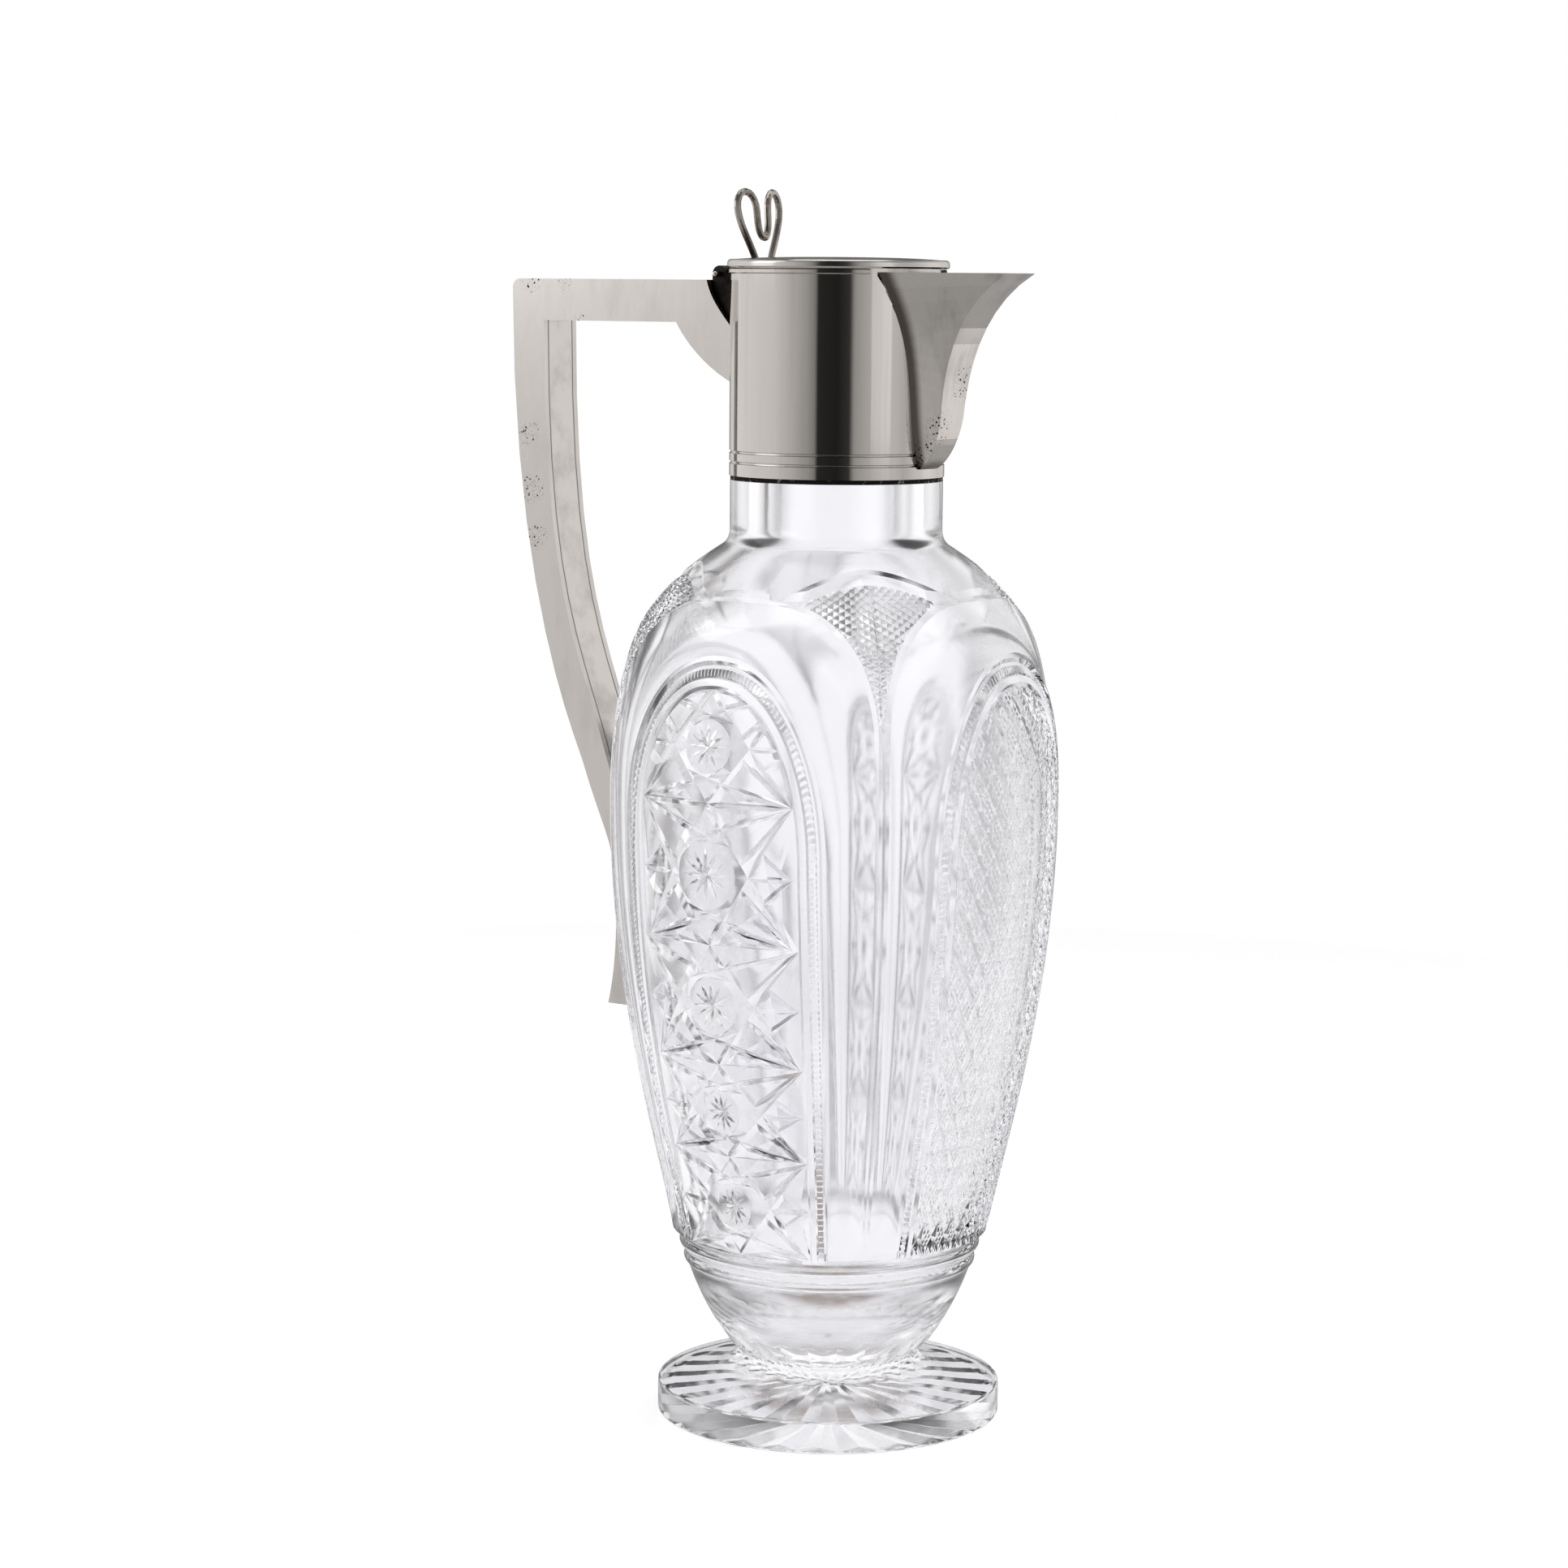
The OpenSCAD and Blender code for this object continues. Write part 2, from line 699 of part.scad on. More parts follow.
module thumbpiece() {
    path = heart_path();
    color("#b8b4ae") difference() {
        loft([for (i = [0:len(path) - 1]) wire_ring(path, i)]);
        rotate_extrude() polygon(concat(
            [[0, lid_z - 2 * cut], [plate_r, lid_z - 2 * cut], [plate_r, lid_edge_z + seat_gap]],
            curve([plate_r, lid_edge_z + seat_gap], [0.8 * plate_r, lid_top_z - 0.3 * lid_dome + seat_gap],
                [0.5 * plate_r, lid_top_z + seat_gap], [0, lid_top_z + seat_gap])
        ));
    }
}

glass_body();
plaster_bed();
collar_band();
collar_rim_wire();
spout_side_left();
spout_side_right();
spout_front_strip();
handle_side_left();
handle_side_right();
handle_top_strip();
handle_back_strip();
handle_under_strip();
handle_front_strip();
handle_bracket_strip();
handle_toe_cap();
hinge_block();
hinge_knuckles();
hinge_pin();
lid_plate();
lid_rim();
lid_bezel();
lid_hinge_leaf();
thumbpiece();
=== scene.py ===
"""A cut-glass claret jug with silver-plated mounts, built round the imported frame."""
import logging
import math
from collections import Counter
from dataclasses import dataclass, field
from enum import Enum
from typing import Callable, Iterable, Sequence

import bmesh
import bpy
from mathutils import Matrix, Vector
from mathutils.geometry import delaunay_2d_cdt, tessellate_polygon


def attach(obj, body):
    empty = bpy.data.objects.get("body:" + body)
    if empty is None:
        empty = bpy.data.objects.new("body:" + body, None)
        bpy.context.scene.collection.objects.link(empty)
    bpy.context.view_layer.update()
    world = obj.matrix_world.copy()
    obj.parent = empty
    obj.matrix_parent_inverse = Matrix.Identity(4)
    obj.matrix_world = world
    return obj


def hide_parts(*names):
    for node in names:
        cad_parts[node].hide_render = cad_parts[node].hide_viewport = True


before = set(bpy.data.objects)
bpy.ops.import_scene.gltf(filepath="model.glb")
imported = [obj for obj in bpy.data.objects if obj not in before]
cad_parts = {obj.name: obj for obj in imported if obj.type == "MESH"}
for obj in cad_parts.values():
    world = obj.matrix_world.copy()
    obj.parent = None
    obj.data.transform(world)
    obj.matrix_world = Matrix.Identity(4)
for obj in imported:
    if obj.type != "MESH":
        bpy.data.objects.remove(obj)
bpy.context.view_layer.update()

log = logging.getLogger("claret_jug")

MM = 0.001
WELD = 2e-6
PHOTO_PX = 1932
Point2 = tuple[float, float]
Point3 = tuple[float, float, float]
Curve = tuple[float, float, float, float]
Region = Callable[[float, float], bool]


# ---------------------------------------------------------------- shader expressions


class Wire:
    """One value inside a node tree, which joins up Math nodes through Python's operators."""

    def __init__(self, tree: "Graph", socket: bpy.types.NodeSocket) -> None:
        """Keep the graph and the output socket that this value comes from."""
        self.tree = tree
        self.socket = socket

    def _math(self, operation: str, *values: object) -> "Wire":
        """Add a Math node of one operation on the values."""
        return self.tree.add("ShaderNodeMath", {"operation": operation}, list(values))

    def __add__(self, other: object) -> "Wire":
        """Sum."""
        return self._math("ADD", self, other)

    __radd__ = __add__

    def __sub__(self, other: object) -> "Wire":
        """Difference."""
        return self._math("SUBTRACT", self, other)

    def __rsub__(self, other: object) -> "Wire":
        """Reflected difference, so that 1 - mask works."""
        return self._math("SUBTRACT", other, self)

    def __mul__(self, other: object) -> "Wire":
        """Product."""
        return self._math("MULTIPLY", self, other)

    __rmul__ = __mul__

    def larger(self, other: object) -> "Wire":
        """The larger of two values."""
        return self._math("MAXIMUM", self, other)

    def ramp(self, low: float, high: float, start: float = 0.0, end: float = 1.0) -> "Wire":
        """Map low..high smoothly to start..end.

        Args:
            low: value that gives start.
            high: value that gives end.
            start: result at low and below.
            end: result at high and above.

        Returns:
            The mapped value.
        """
        settings = {"interpolation_type": "SMOOTHSTEP"}
        return self.tree.add("ShaderNodeMapRange", settings, [self, low, high, start, end])


class Graph:
    """A node tree that is filled by adding nodes and joining them up."""

    def __init__(self, tree: bpy.types.NodeTree) -> None:
        """Keep the tree's nodes and links."""
        self.nodes, self.links = tree.nodes, tree.links

    def put(self, socket: bpy.types.NodeSocket, value: object) -> None:
        """Link a wire to a socket, or set the socket to a plain value."""
        if isinstance(value, Wire):
            self.links.new(value.socket, socket)
        else:
            socket.default_value = value

    def add(self, kind: str, settings: dict[str, object] | None = None,
            inputs: Sequence[object] | dict[str, object] = (), output: int | str = 0) -> Wire:
        """Add one node.

        Args:
            kind: the node's type.
            settings: its properties, which are set first.
            inputs: values or wires for its sockets, in order or by name.
            output: which output comes back.

        Returns:
            The chosen output.
        """
        node = self.nodes.new(kind)
        for key, value in (settings or {}).items():
            setattr(node, key, value)
        for key, value in inputs.items() if isinstance(inputs, dict) else enumerate(inputs):
            self.put(node.inputs[key], value)
        return Wire(self, node.outputs[output])

    def measure(self, operation: str, *values: object) -> Wire:
        """A length, distance or dot product of vectors, as one value."""
        return self.add("ShaderNodeVectorMath", {"operation": operation}, values, "Value")

    def blend(self, amount: Wire, low: object, high: object) -> Wire:
        """A colour between two colours."""
        return self.add("ShaderNodeMix", {"data_type": "RGBA"}, {"Factor": amount, 6: low, 7: high}, 2)


class Recipe(Graph):
    """The node tree of one material."""

    def __init__(self, name: str) -> None:
        """Start a material with only a Principled shader and its output."""
        self.material = bpy.data.materials.new(name)
        self.material.use_nodes = True
        super().__init__(self.material.node_tree)
        self.shader = self.nodes["Principled BSDF"]

    def place(self) -> Wire:
        """The object's own coordinates."""
        return self.add("ShaderNodeTexCoord", output="Object")

    def noise(self, place: Wire, scale: float, detail: float = 3.0, rough: float = 0.55) -> Wire:
        """Noise at a scale, as one value."""
        return self.add("ShaderNodeTexNoise", None,
                        {"Vector": place, "Scale": scale, "Detail": detail, "Roughness": rough})

    def cells(self, place: Wire, scale: float) -> Wire:
        """Distance to the nearest of scattered points."""
        return self.add("ShaderNodeTexVoronoi", None, {"Vector": place, "Scale": scale})

    def stretch(self, place: Wire, factors: Point3) -> Wire:
        """Coordinates stretched by factors."""
        return self.add("ShaderNodeMapping", {"vector_type": "POINT"},
                        {"Vector": place, "Scale": factors})

    def feed(self, **values: object) -> None:
        """Set or link the shader's sockets; words in a name are joined by underscores."""
        for key, value in values.items():
            self.put(self.shader.inputs[key.replace("_", " ")], value)

    def relief(self, height: Wire, depth: float) -> None:
        """Feed a height to the shader's normal, with a depth in metres."""
        inputs = {"Strength": 1.0, "Distance": depth, "Height": height}
        self.feed(Normal=self.add("ShaderNodeBump", None, inputs))

    def let_lamps_through(self, tint: tuple[float, float, float, float]) -> None:
        """Let light from the lamps pass the glass, so that what is behind it is lit."""
        clear = self.add("ShaderNodeBsdfTransparent", None, {"Color": tint})
        shadow = self.add("ShaderNodeLightPath", output="Is Shadow Ray")
        both = self.add("ShaderNodeMixShader", None, [shadow, Wire(self, self.shader.outputs[0]), clear])
        self.put(self.nodes["Material Output"].inputs["Surface"], both)


def rgb(hex_code: str) -> tuple[float, float, float, float]:
    """A screen colour such as b5b0ae as a linear colour."""
    values = [int(hex_code[i:i + 2], 16) / 255 for i in (0, 2, 4)]
    linear = [v / 12.92 if v <= 0.04045 else ((v + 0.055) / 1.055) ** 2.4 for v in values]
    return (linear[0], linear[1], linear[2], 1.0)


# ---------------------------------------------------------------- finishes


@dataclass(frozen=True)
class PolishedGlass:
    """Clear lead glass, hazy inside, with faint ripples and a dried stain on the cavity's floor."""

    name: str = "cut_glass_polished"
    tint: str = "fdfdff"
    stain: str = "6b5442"
    ior: float = 1.52
    haze: float = 0.16
    stain_z: Point2 = (0.0232, 0.0262)

    def build(self) -> bpy.types.Material:
        """Make the material."""
        mix = Recipe(self.name)
        place = mix.place()
        inside = mix.add("ShaderNodeAttribute", {"attribute_name": "haze"}, output="Fac")
        height = mix.add("ShaderNodeSeparateXYZ", None, [place], output="Z")
        smear = mix.noise(place, 90.0, 4.0).ramp(0.5, 0.75)
        dried = mix.noise(place, 260.0, 5.0, 0.65).ramp(0.3, 0.52)
        low, high = self.stain_z
        spill = inside * height.ramp(low, high, 1.0, 0.0) * height.ramp(0.01, 0.02) * dried
        mix.feed(Base_Color=mix.blend(spill, rgb(self.tint), rgb(self.stain)), IOR=self.ior)
        mix.feed(Roughness=inside * self.haze + smear * 0.02 + spill * 0.4 + 0.004)
        mix.feed(Transmission_Weight=1.0)
        mix.relief(mix.noise(place, 160.0, 2.0), 0.00003)
        mix.let_lamps_through((0.95, 0.95, 0.96, 1.0))
        return mix.material


@dataclass(frozen=True)
class SilverPlate:
    """Silver plate with soft polish, dark streaks and dark pits where it is worn; light streaks are
    tarnished silver, while the heaviest streaks and darkest tones are painted shade.

    Each worn spot is a place and a reach, in millimetres. The seam is the stretch over which a
    dark joint line fades out, as a distance from the origin with only the seam's axes counted.
    """

    name: str
    tone: str = "c9c5c1"
    shade: str = "8f8983"
    pit_tone: str = "17130f"
    roughness: float = 0.2
    pit_amount: float = 0.5
    # amount of dark streaking: tarnished silver when light, painted shade in the hinge and lid finishes
    tarnish_and_shade: float = 0.25
    grain: Point3 = (1.0, 1.0, 1.0)
    worn: tuple[tuple[float, float, float, float], ...] = ()
    seam: Point2 | None = None
    seam_axes: Point3 = (1.0, 1.0, 0.0)

    def build(self) -> bpy.types.Material:
        """Make the material."""
        mix = Recipe(self.name)
        place = mix.place()
        streak = mix.stretch(place, self.grain)
        bloom = mix.noise(streak, 120.0, 5.0, 0.6).ramp(0.42, 0.72)
        cluster = mix.noise(place, 38.0, 3.0, 0.5).ramp(0.7, 0.8) * self.pit_amount
        for x, y, z, reach in self.worn:
            apart = mix.measure("DISTANCE", place, (x * MM, y * MM, z * MM))
            cluster = cluster.larger(apart.ramp(reach * MM * 0.3, reach * MM, 1.0, 0.0))
        speck = 1.0 - mix.cells(place, 900.0).ramp(0.1, 0.34)
        fine = 1.0 - mix.cells(place, 2300.0).ramp(0.08, 0.3)
        pits = (speck.larger(fine) * cluster).ramp(0.25, 0.7)
        scratch = mix.noise(streak, 1400.0, 2.0, 0.7)
        # darken toward the shade colour in streaks; light streaking is tarnished silver, heavy streaking
        # is painted shade
        darkening = bloom * self.tarnish_and_shade
        if self.seam:
            away = mix.measure("LENGTH", mix.stretch(place, self.seam_axes))
            near, far = self.seam
            darkening = darkening.larger(away.ramp(near * MM, far * MM, 1.0, 0.0))
        colour = mix.blend(darkening, rgb(self.tone), rgb(self.shade))
        mix.feed(Base_Color=mix.blend(pits, colour, rgb(self.pit_tone)))
        mix.feed(Metallic=1.0 - pits * 0.6)
        mix.feed(Roughness=(scratch + bloom) * (self.roughness * 0.4) + pits * 0.35 + self.roughness * 0.6)
        mix.relief(scratch * 0.05 - pits, 0.00004)
        return mix.material


@dataclass(frozen=True)
class RoughPlaster:
    """Dirty plaster at the glass neck, nearly black at its ragged edge."""

    name: str = "plaster_dirty"
    pale: str = "e4e0d8"
    dark: str = "15110e"
    edge_r: Point2 = (0.0249, 0.0253)

    def build(self) -> bpy.types.Material:
        """Make the material."""
        mix = Recipe(self.name)
        place = mix.place()
        patch = mix.noise(place, 420.0, 6.0, 0.7)
        radius = mix.measure("LENGTH", mix.stretch(place, (1.0, 1.0, 0.0)))
        clean = radius.ramp(*self.edge_r, 1.0, 0.0).larger(patch.ramp(0.57, 0.66) * 0.5)
        mix.feed(Base_Color=mix.blend(clean, rgb(self.dark), rgb(self.pale)))
        mix.feed(Roughness=patch * 0.2 + 0.75, Specular_IOR_Level=0.2)
        mix.relief(patch, 0.0003)
        return mix.material


# ---------------------------------------------------------------- curves in millimetres


def bezier(a: Point2, b: Point2, c: Point2, d: Point2, steps: int = 24) -> list[Point2]:
    """Points on one cubic stretch, without its first point.

    Args:
        a: start of the stretch.
        b: first handle.
        c: second handle.
        d: end of the stretch.
        steps: number of points.

    Returns:
        The points after a, up to d.
    """
    points = []
    for i in range(1, steps + 1):
        t = i / steps
        s = 1 - t
        weights = (s ** 3, 3 * s * s * t, 3 * s * t * t, t ** 3)
        points.append(tuple(sum(w * p[k] for w, p in zip(weights, (a, b, c, d))) for k in (0, 1)))
    return points


def quarter(centre: Point2, radius: float, start: float, end: float, steps: int = 5) -> list[Point2]:
    """Points on a rounding from one angle in degrees to another."""
    points = []
    for i in range(steps + 1):
        angle = math.radians(start + (end - start) * i / steps)
        points.append((centre[0] + radius * math.cos(angle), centre[1] + radius * math.sin(angle)))
    return points


def smooth(value: float) -> float:
    """Ease a value from 0 to 1."""
    value = min(1.0, max(0.0, value))
    return value * value * (3 - 2 * value)


def along(start: Point2, end: Point2, share: float) -> Point2:
    """A place part of the way along a line."""
    return (start[0] + (end[0] - start[0]) * share, start[1] + (end[1] - start[1]) * share)


def around(ring: Sequence) -> Iterable[tuple]:
    """Each corner of a closed ring with the next one."""
    return zip(ring, ring[1:] + ring[:1])


def inner_radius(ring: Sequence[Point2], centre: Point2) -> float:
    """Distance from a centre to the nearest side of a ring."""
    return min(abs((q[0] - p[0]) * (centre[1] - p[1]) - (centre[0] - p[0]) * (q[1] - p[1]))
               / max(1e-6, math.dist(p, q)) for p, q in around(ring))


def band(low: Sequence[int], high: Sequence[int], faces: list[tuple[int, ...]]) -> None:
    """Join two closed rings of the same count with four-sided faces."""
    faces += [(a, b, d, c) for (a, b), (c, d) in zip(around(low), around(high))]


@dataclass(frozen=True)
class BellyOutline:
    """Outline of the blown body from the panels' foot to the neck's root, in millimetres."""

    low: Point2 = (38.6, 46.2)
    wide: Point2 = (54.5, 153.5)
    root: Point2 = (27.2, 213.5)

    def table(self) -> list[Point2]:
        """The outline as points from the panels' lower end to the neck."""
        return ([self.low]
                + bezier(self.low, (46.6, 80.8), (54.5, 110.7), self.wide, 60)
                + bezier(self.wide, (54.5, 193.5), (42.5, 203.6), self.root, 60))


class Belly:
    """Places a point of the flat cutting pattern on the body of revolution."""

    def __init__(self, outline: BellyOutline) -> None:
        """Read the outline's table."""
        self.points = outline.table()

    def radius(self, height: float) -> float:
        """Radius at a height."""
        points = self.points
        if height <= points[0][1]:
            return points[0][0]
        for (r0, z0), (r1, z1) in zip(points, points[1:]):
            if height <= z1:
                return r0 + (r1 - r0) * (height - z0) / (z1 - z0)
        return points[-1][0]

    def normal(self, height: float) -> Point2:
        """Outward direction at a height, as radius and height parts."""
        step = 1.5
        low, high = max(height - step, self.points[0][1]), min(height + step, self.points[-1][1])
        dr, dz = self.radius(high) - self.radius(low), high - low
        length = math.hypot(dr, dz)
        return dz / length, -dr / length

    def place(self, angle: float, height: float, depth: float) -> Point3:
        """Put a point of the pattern on the body.

        Args:
            angle: degrees round the jug from +X.
            height: height over the table.
            depth: depth of the cut below the blown surface.

        Returns:
            The point in millimetres.
        """
        out, up = self.normal(height)
        radius = self.radius(height) - depth * out
        turn = math.radians(angle)
        return radius * math.cos(turn), radius * math.sin(turn), height - depth * up


# ---------------------------------------------------------------- the cutting pattern


class Panel(Enum):
    """What fills an arched panel."""

    STARS = "stars"
    DIAMONDS = "diamonds"


class Zone(Enum):
    """How a face of the pattern is finished."""

    FACET = "facet"
    NOTCH = "notch"
    PLAIN = "plain"
    DAISY = "daisy"


@dataclass(frozen=True)
class Arch:
    """One arched line of the pattern: straight sides with a superellipse over them.

    Lengths are degrees across the jug and millimetres up it.
    """

    side: float
    top: float
    spring: float
    power: float
    taper: float
    depth: float

    def half(self, height: float) -> float:
        """Half-width at a height."""
        if height <= self.spring:
            return self.side + self.taper * (self.spring - height)
        rise = (height - self.spring) / (self.top - self.spring)
        return self.side * max(0.0, 1 - rise ** self.power) ** (1 / self.power)

    def holds(self, angle: float, height: float) -> bool:
        """Whether a place lies inside the arch."""
        return height < self.top and abs(angle) < self.half(height)

    def line(self, base: float, side_steps: int, arch_steps: int) -> list[Point2]:
        """Points from the left foot over the top to the right foot.

        Args:
            base: height of both feet.
            side_steps: steps up each straight side.
            arch_steps: steps over each half of the arch.

        Returns:
            The points, as angle and height.
        """
        right = [(self.half(z), z) for z in
                 (base + (self.spring - base) * i / side_steps for i in range(side_steps + 1))]
        for i in range(1, arch_steps + 1):
            turn = math.pi / 2 * i / arch_steps
            c, s = max(0.0, math.cos(turn)), math.sin(turn)
            reach = (c ** self.power + s ** self.power) ** (-1 / self.power)
            right.append((self.side * reach * c, self.spring + (self.top - self.spring) * reach * s))
        right[-1] = (0.0, self.top)
        left = [(-a, z) for a, z in right[:-1]]
        return left + right[::-1]


@dataclass
class Pattern:
    """Points and lines of the cuts on one quarter of the body, flat.

    The scale is millimetres per degree at the belly, and places nearer than one part of the grid
    are one point.
    """

    scale: float = 0.951
    grid: int = 2000
    points: list[Point3] = field(default_factory=list)
    lines: set[tuple[int, int]] = field(default_factory=set)
    known: dict[tuple[int, int], int] = field(default_factory=dict)

    def point(self, angle: float, height: float, depth: float) -> int:
        """Number of a point, which is added if it is new."""
        key = (round(angle * self.grid), round(height * self.grid))
        if key not in self.known:
            self.known[key] = len(self.points)
            self.points.append((angle, height, depth))
        return self.known[key]

    def join(self, a: int, b: int) -> None:
        """Add a line between two points."""
        if a != b:
            self.lines.add((min(a, b), max(a, b)))

    def chain(self, numbers: Sequence[int]) -> None:
        """Add lines along a row of points."""
        for a, b in zip(numbers, numbers[1:]):
            self.join(a, b)

    def net(self, rows: Sequence[Sequence[int]]) -> None:
        """Add lines along rows of points and across them."""
        for line in [*rows, *zip(*rows)]:
            self.chain(line)


def clip(a: Point2, b: Point2, inside: Region) -> tuple[Point2, Point2] | None:
    """Cut a straight line back to the part of it that lies inside.

    Args:
        a: one end.
        b: other end.
        inside: test for a place.

    Returns:
        The two ends of the longest part inside, or None.
    """
    steps = max(6, round(math.dist(a, b) * 5))
    hits = [inside(*along(a, b, i / steps)) for i in range(steps + 1)]
    best, start = None, None
    for i, hit in enumerate(hits + [False]):
        if hit and start is None:
            start = i
        elif not hit and start is not None:
            if best is None or i - 1 - start > best[1] - best[0]:
                best = (start, i - 1)
            start = None
    if best is None or best[0] == best[1]:
        return None

    def edge(inner: float, outer: float) -> float:
        """Find by halving where the line leaves the inside."""
        for _ in range(24):
            middle = (inner + outer) / 2
            if inside(*along(a, b, middle)):
                inner = middle
            else:
                outer = middle
        return (inner + outer) / 2

    t0 = 0.0 if best[0] == 0 else edge(best[0] / steps, (best[0] - 1) / steps)
    t1 = 1.0 if best[1] == steps else edge(best[1] / steps, (best[1] + 1) / steps)
    return along(a, b, t0), along(a, b, t1)


def merge_cells(triangles: Sequence[Sequence[int]], drawn: set[tuple[int, int]]) -> list[list[int]]:
    """Join triangles into the cells that the drawn lines bound.

    Args:
        triangles: faces of the triangulation, all turned the same way.
        drawn: edges that lie on drawn lines, smaller number first.

    Returns:
        One ring of corners for each cell.
    """
    owner = {edge: number for number, face in enumerate(triangles) for edge in around(face)}
    group = list(range(len(triangles)))

    def root(number: int) -> int:
        """The triangle that stands for a cell."""
        while group[number] != number:
            group[number] = group[group[number]]
            number = group[number]
        return number

    for (a, b), number in owner.items():
        if (b, a) in owner and (min(a, b), max(a, b)) not in drawn:
            group[root(number)] = root(owner[b, a])
    borders: dict[int, list[tuple[int, int]]] = {}
    for (a, b), number in owner.items():
        other = owner.get((b, a))
        if other is None or root(other) != root(number):
            borders.setdefault(root(number), []).append((a, b))
    cells = []
    for cell, border in borders.items():
        after = dict(border)
        ring = [border[0][0]]
        while after[ring[-1]] != ring[0] and len(ring) <= len(border):
            ring.append(after[ring[-1]])
        if len(ring) == len(border):
            cells.append(ring)
        else:
            cells += [list(face) for number, face in enumerate(triangles) if root(number) == cell]
    return cells


@dataclass
class CutQuarter:
    """The cuts of one quarter of the body, centred on one arched panel.

    Angles are degrees from the quarter's middle, heights and depths are millimetres. A curve is
    its top, how far it falls, the angle over which it falls, and a power.
    """

    panel: Panel
    base: float = 46.2
    side_steps: int = 66
    arch_steps: int = 40
    crest_steps: int = 20
    cut: float = 0.75
    lattice_cuts: Point2 = (0.95, 0.3)
    lattice_inset: float = 0.16
    lip: Point2 = (0.6, 0.6)
    overrun: float = 0.15
    fade: float = 1.2
    snap: float = 0.02
    slope: float = 1.1
    flat_share: float = 1.15
    notch_depth: float = 0.75
    daisy_rays: int = 12
    fan_pitch: Point2 = (3.6, 1.7)
    flute_depth: float = 1.5
    flute_lines: int = 7
    flute_fade: float = 11.0
    half_width: float = 45.0
    ridge: Point2 = (44.2, 0.5)
    ridge_fade: float = 3.0
    fan_start: float = 175.0
    fan_level: float = 170.0
    fan_rows: tuple[int, int] = (-30, 60)
    fan_reach: float = 34.0
    fan_curve: Curve = (206.8, 4.4, 24.0, 1.8)
    crest_curve: Curve = (209.6, 6.4, 29.5, 1.9)
    cusp: Point2 = (15.5, 203.2)
    rim_from: float = 190.0
    daisy_share: float = 0.2
    top: float = 213.5
    levels: tuple[float, ...] = (182.5, 156.0, 122.5, 93.5, 70.5, 46.2)

    def __post_init__(self) -> None:
        """Set out the arched lines from the panel's edge to the pillar."""
        spring, power, taper = 140.0, 2.25, 0.0236
        rows = ((24.2, 182.5, self.cut), (24.9, 183.2, 0.0), (26.6, 184.8, 0.0),
                (27.0, 185.2, self.notch_depth), (29.1, 187.3, self.notch_depth),
                (29.7, 188.1, 0.9), (30.4, 188.9, 0.0), (31.4, 190.0, 0.0))
        self.arches = [Arch(side, top, spring, power, taper, depth) for side, top, depth in rows]
        self.outer = Arch(43.3, 202.0, 160.0, 3.2, 0.0, 0.0)
        self.bevel = Arch(44.75, 203.5, 160.0, 3.2, 0.0, self.cut)
        self.pattern = Pattern()

    def crest(self, angle: float) -> float:
        """Height of the line where the cutting ends on the shoulder."""
        if abs(angle) <= self.cusp[0]:
            return self.cusp[1] + 1.5 * (1 - (angle / self.cusp[0]) ** 2)
        return self.hump(angle, self.crest_curve)

    def fan_top(self, angle: float) -> float:
        """Height of the upper edge of the fan's diamonds."""
        return self.hump(angle, self.fan_curve)

    def hump(self, angle: float, curve: Curve) -> float:
        """Height of a line that is highest at the quarter's two sides."""
        top, fall, reach, power = curve
        return top - fall * (abs(abs(angle) - self.half_width) / reach) ** power

    def in_field(self, angle: float, height: float) -> bool:
        """Whether a place lies in the panel's field."""
        return height > self.base and self.arches[0].holds(angle, height)

    def in_fan(self, angle: float, height: float) -> bool:
        """Whether a place lies among the diamonds of the shoulder's fan."""
        return (height > self.fan_foot and abs(angle) <= self.half_width and height < self.fan_top(angle)
                and not self.bevel.holds(angle, height))

    def lay_arches(self) -> None:
        """Draw the bands, the hollow flute and the pillar's ridges."""
        flat = self.pattern
        lines = [arch.line(self.base, self.side_steps, self.arch_steps) for arch in self.arches]
        rim = self.outer.line(self.base, self.side_steps, self.arch_steps)
        depths = [arch.depth for arch in self.arches]
        for i in range(1, self.flute_lines + 1):
            share = i / (self.flute_lines + 1)
            lines.append([along(a, b, share) for a, b in zip(lines[len(self.arches) - 1], rim)])
            depths.append(self.flute_depth * (1 - (2 * share - 1) ** 2))
        lines.append(rim)
        depths.append(0.0)
        grid = []
        for number, (line, depth) in enumerate(zip(lines, depths)):
            run_out = self.flute_fade if number >= len(self.arches) else self.fade
            grid.append([flat.point(a, z, depth * smooth((z - self.base) / run_out)) for a, z in line])
        flat.net(grid)
        self.rim = rim

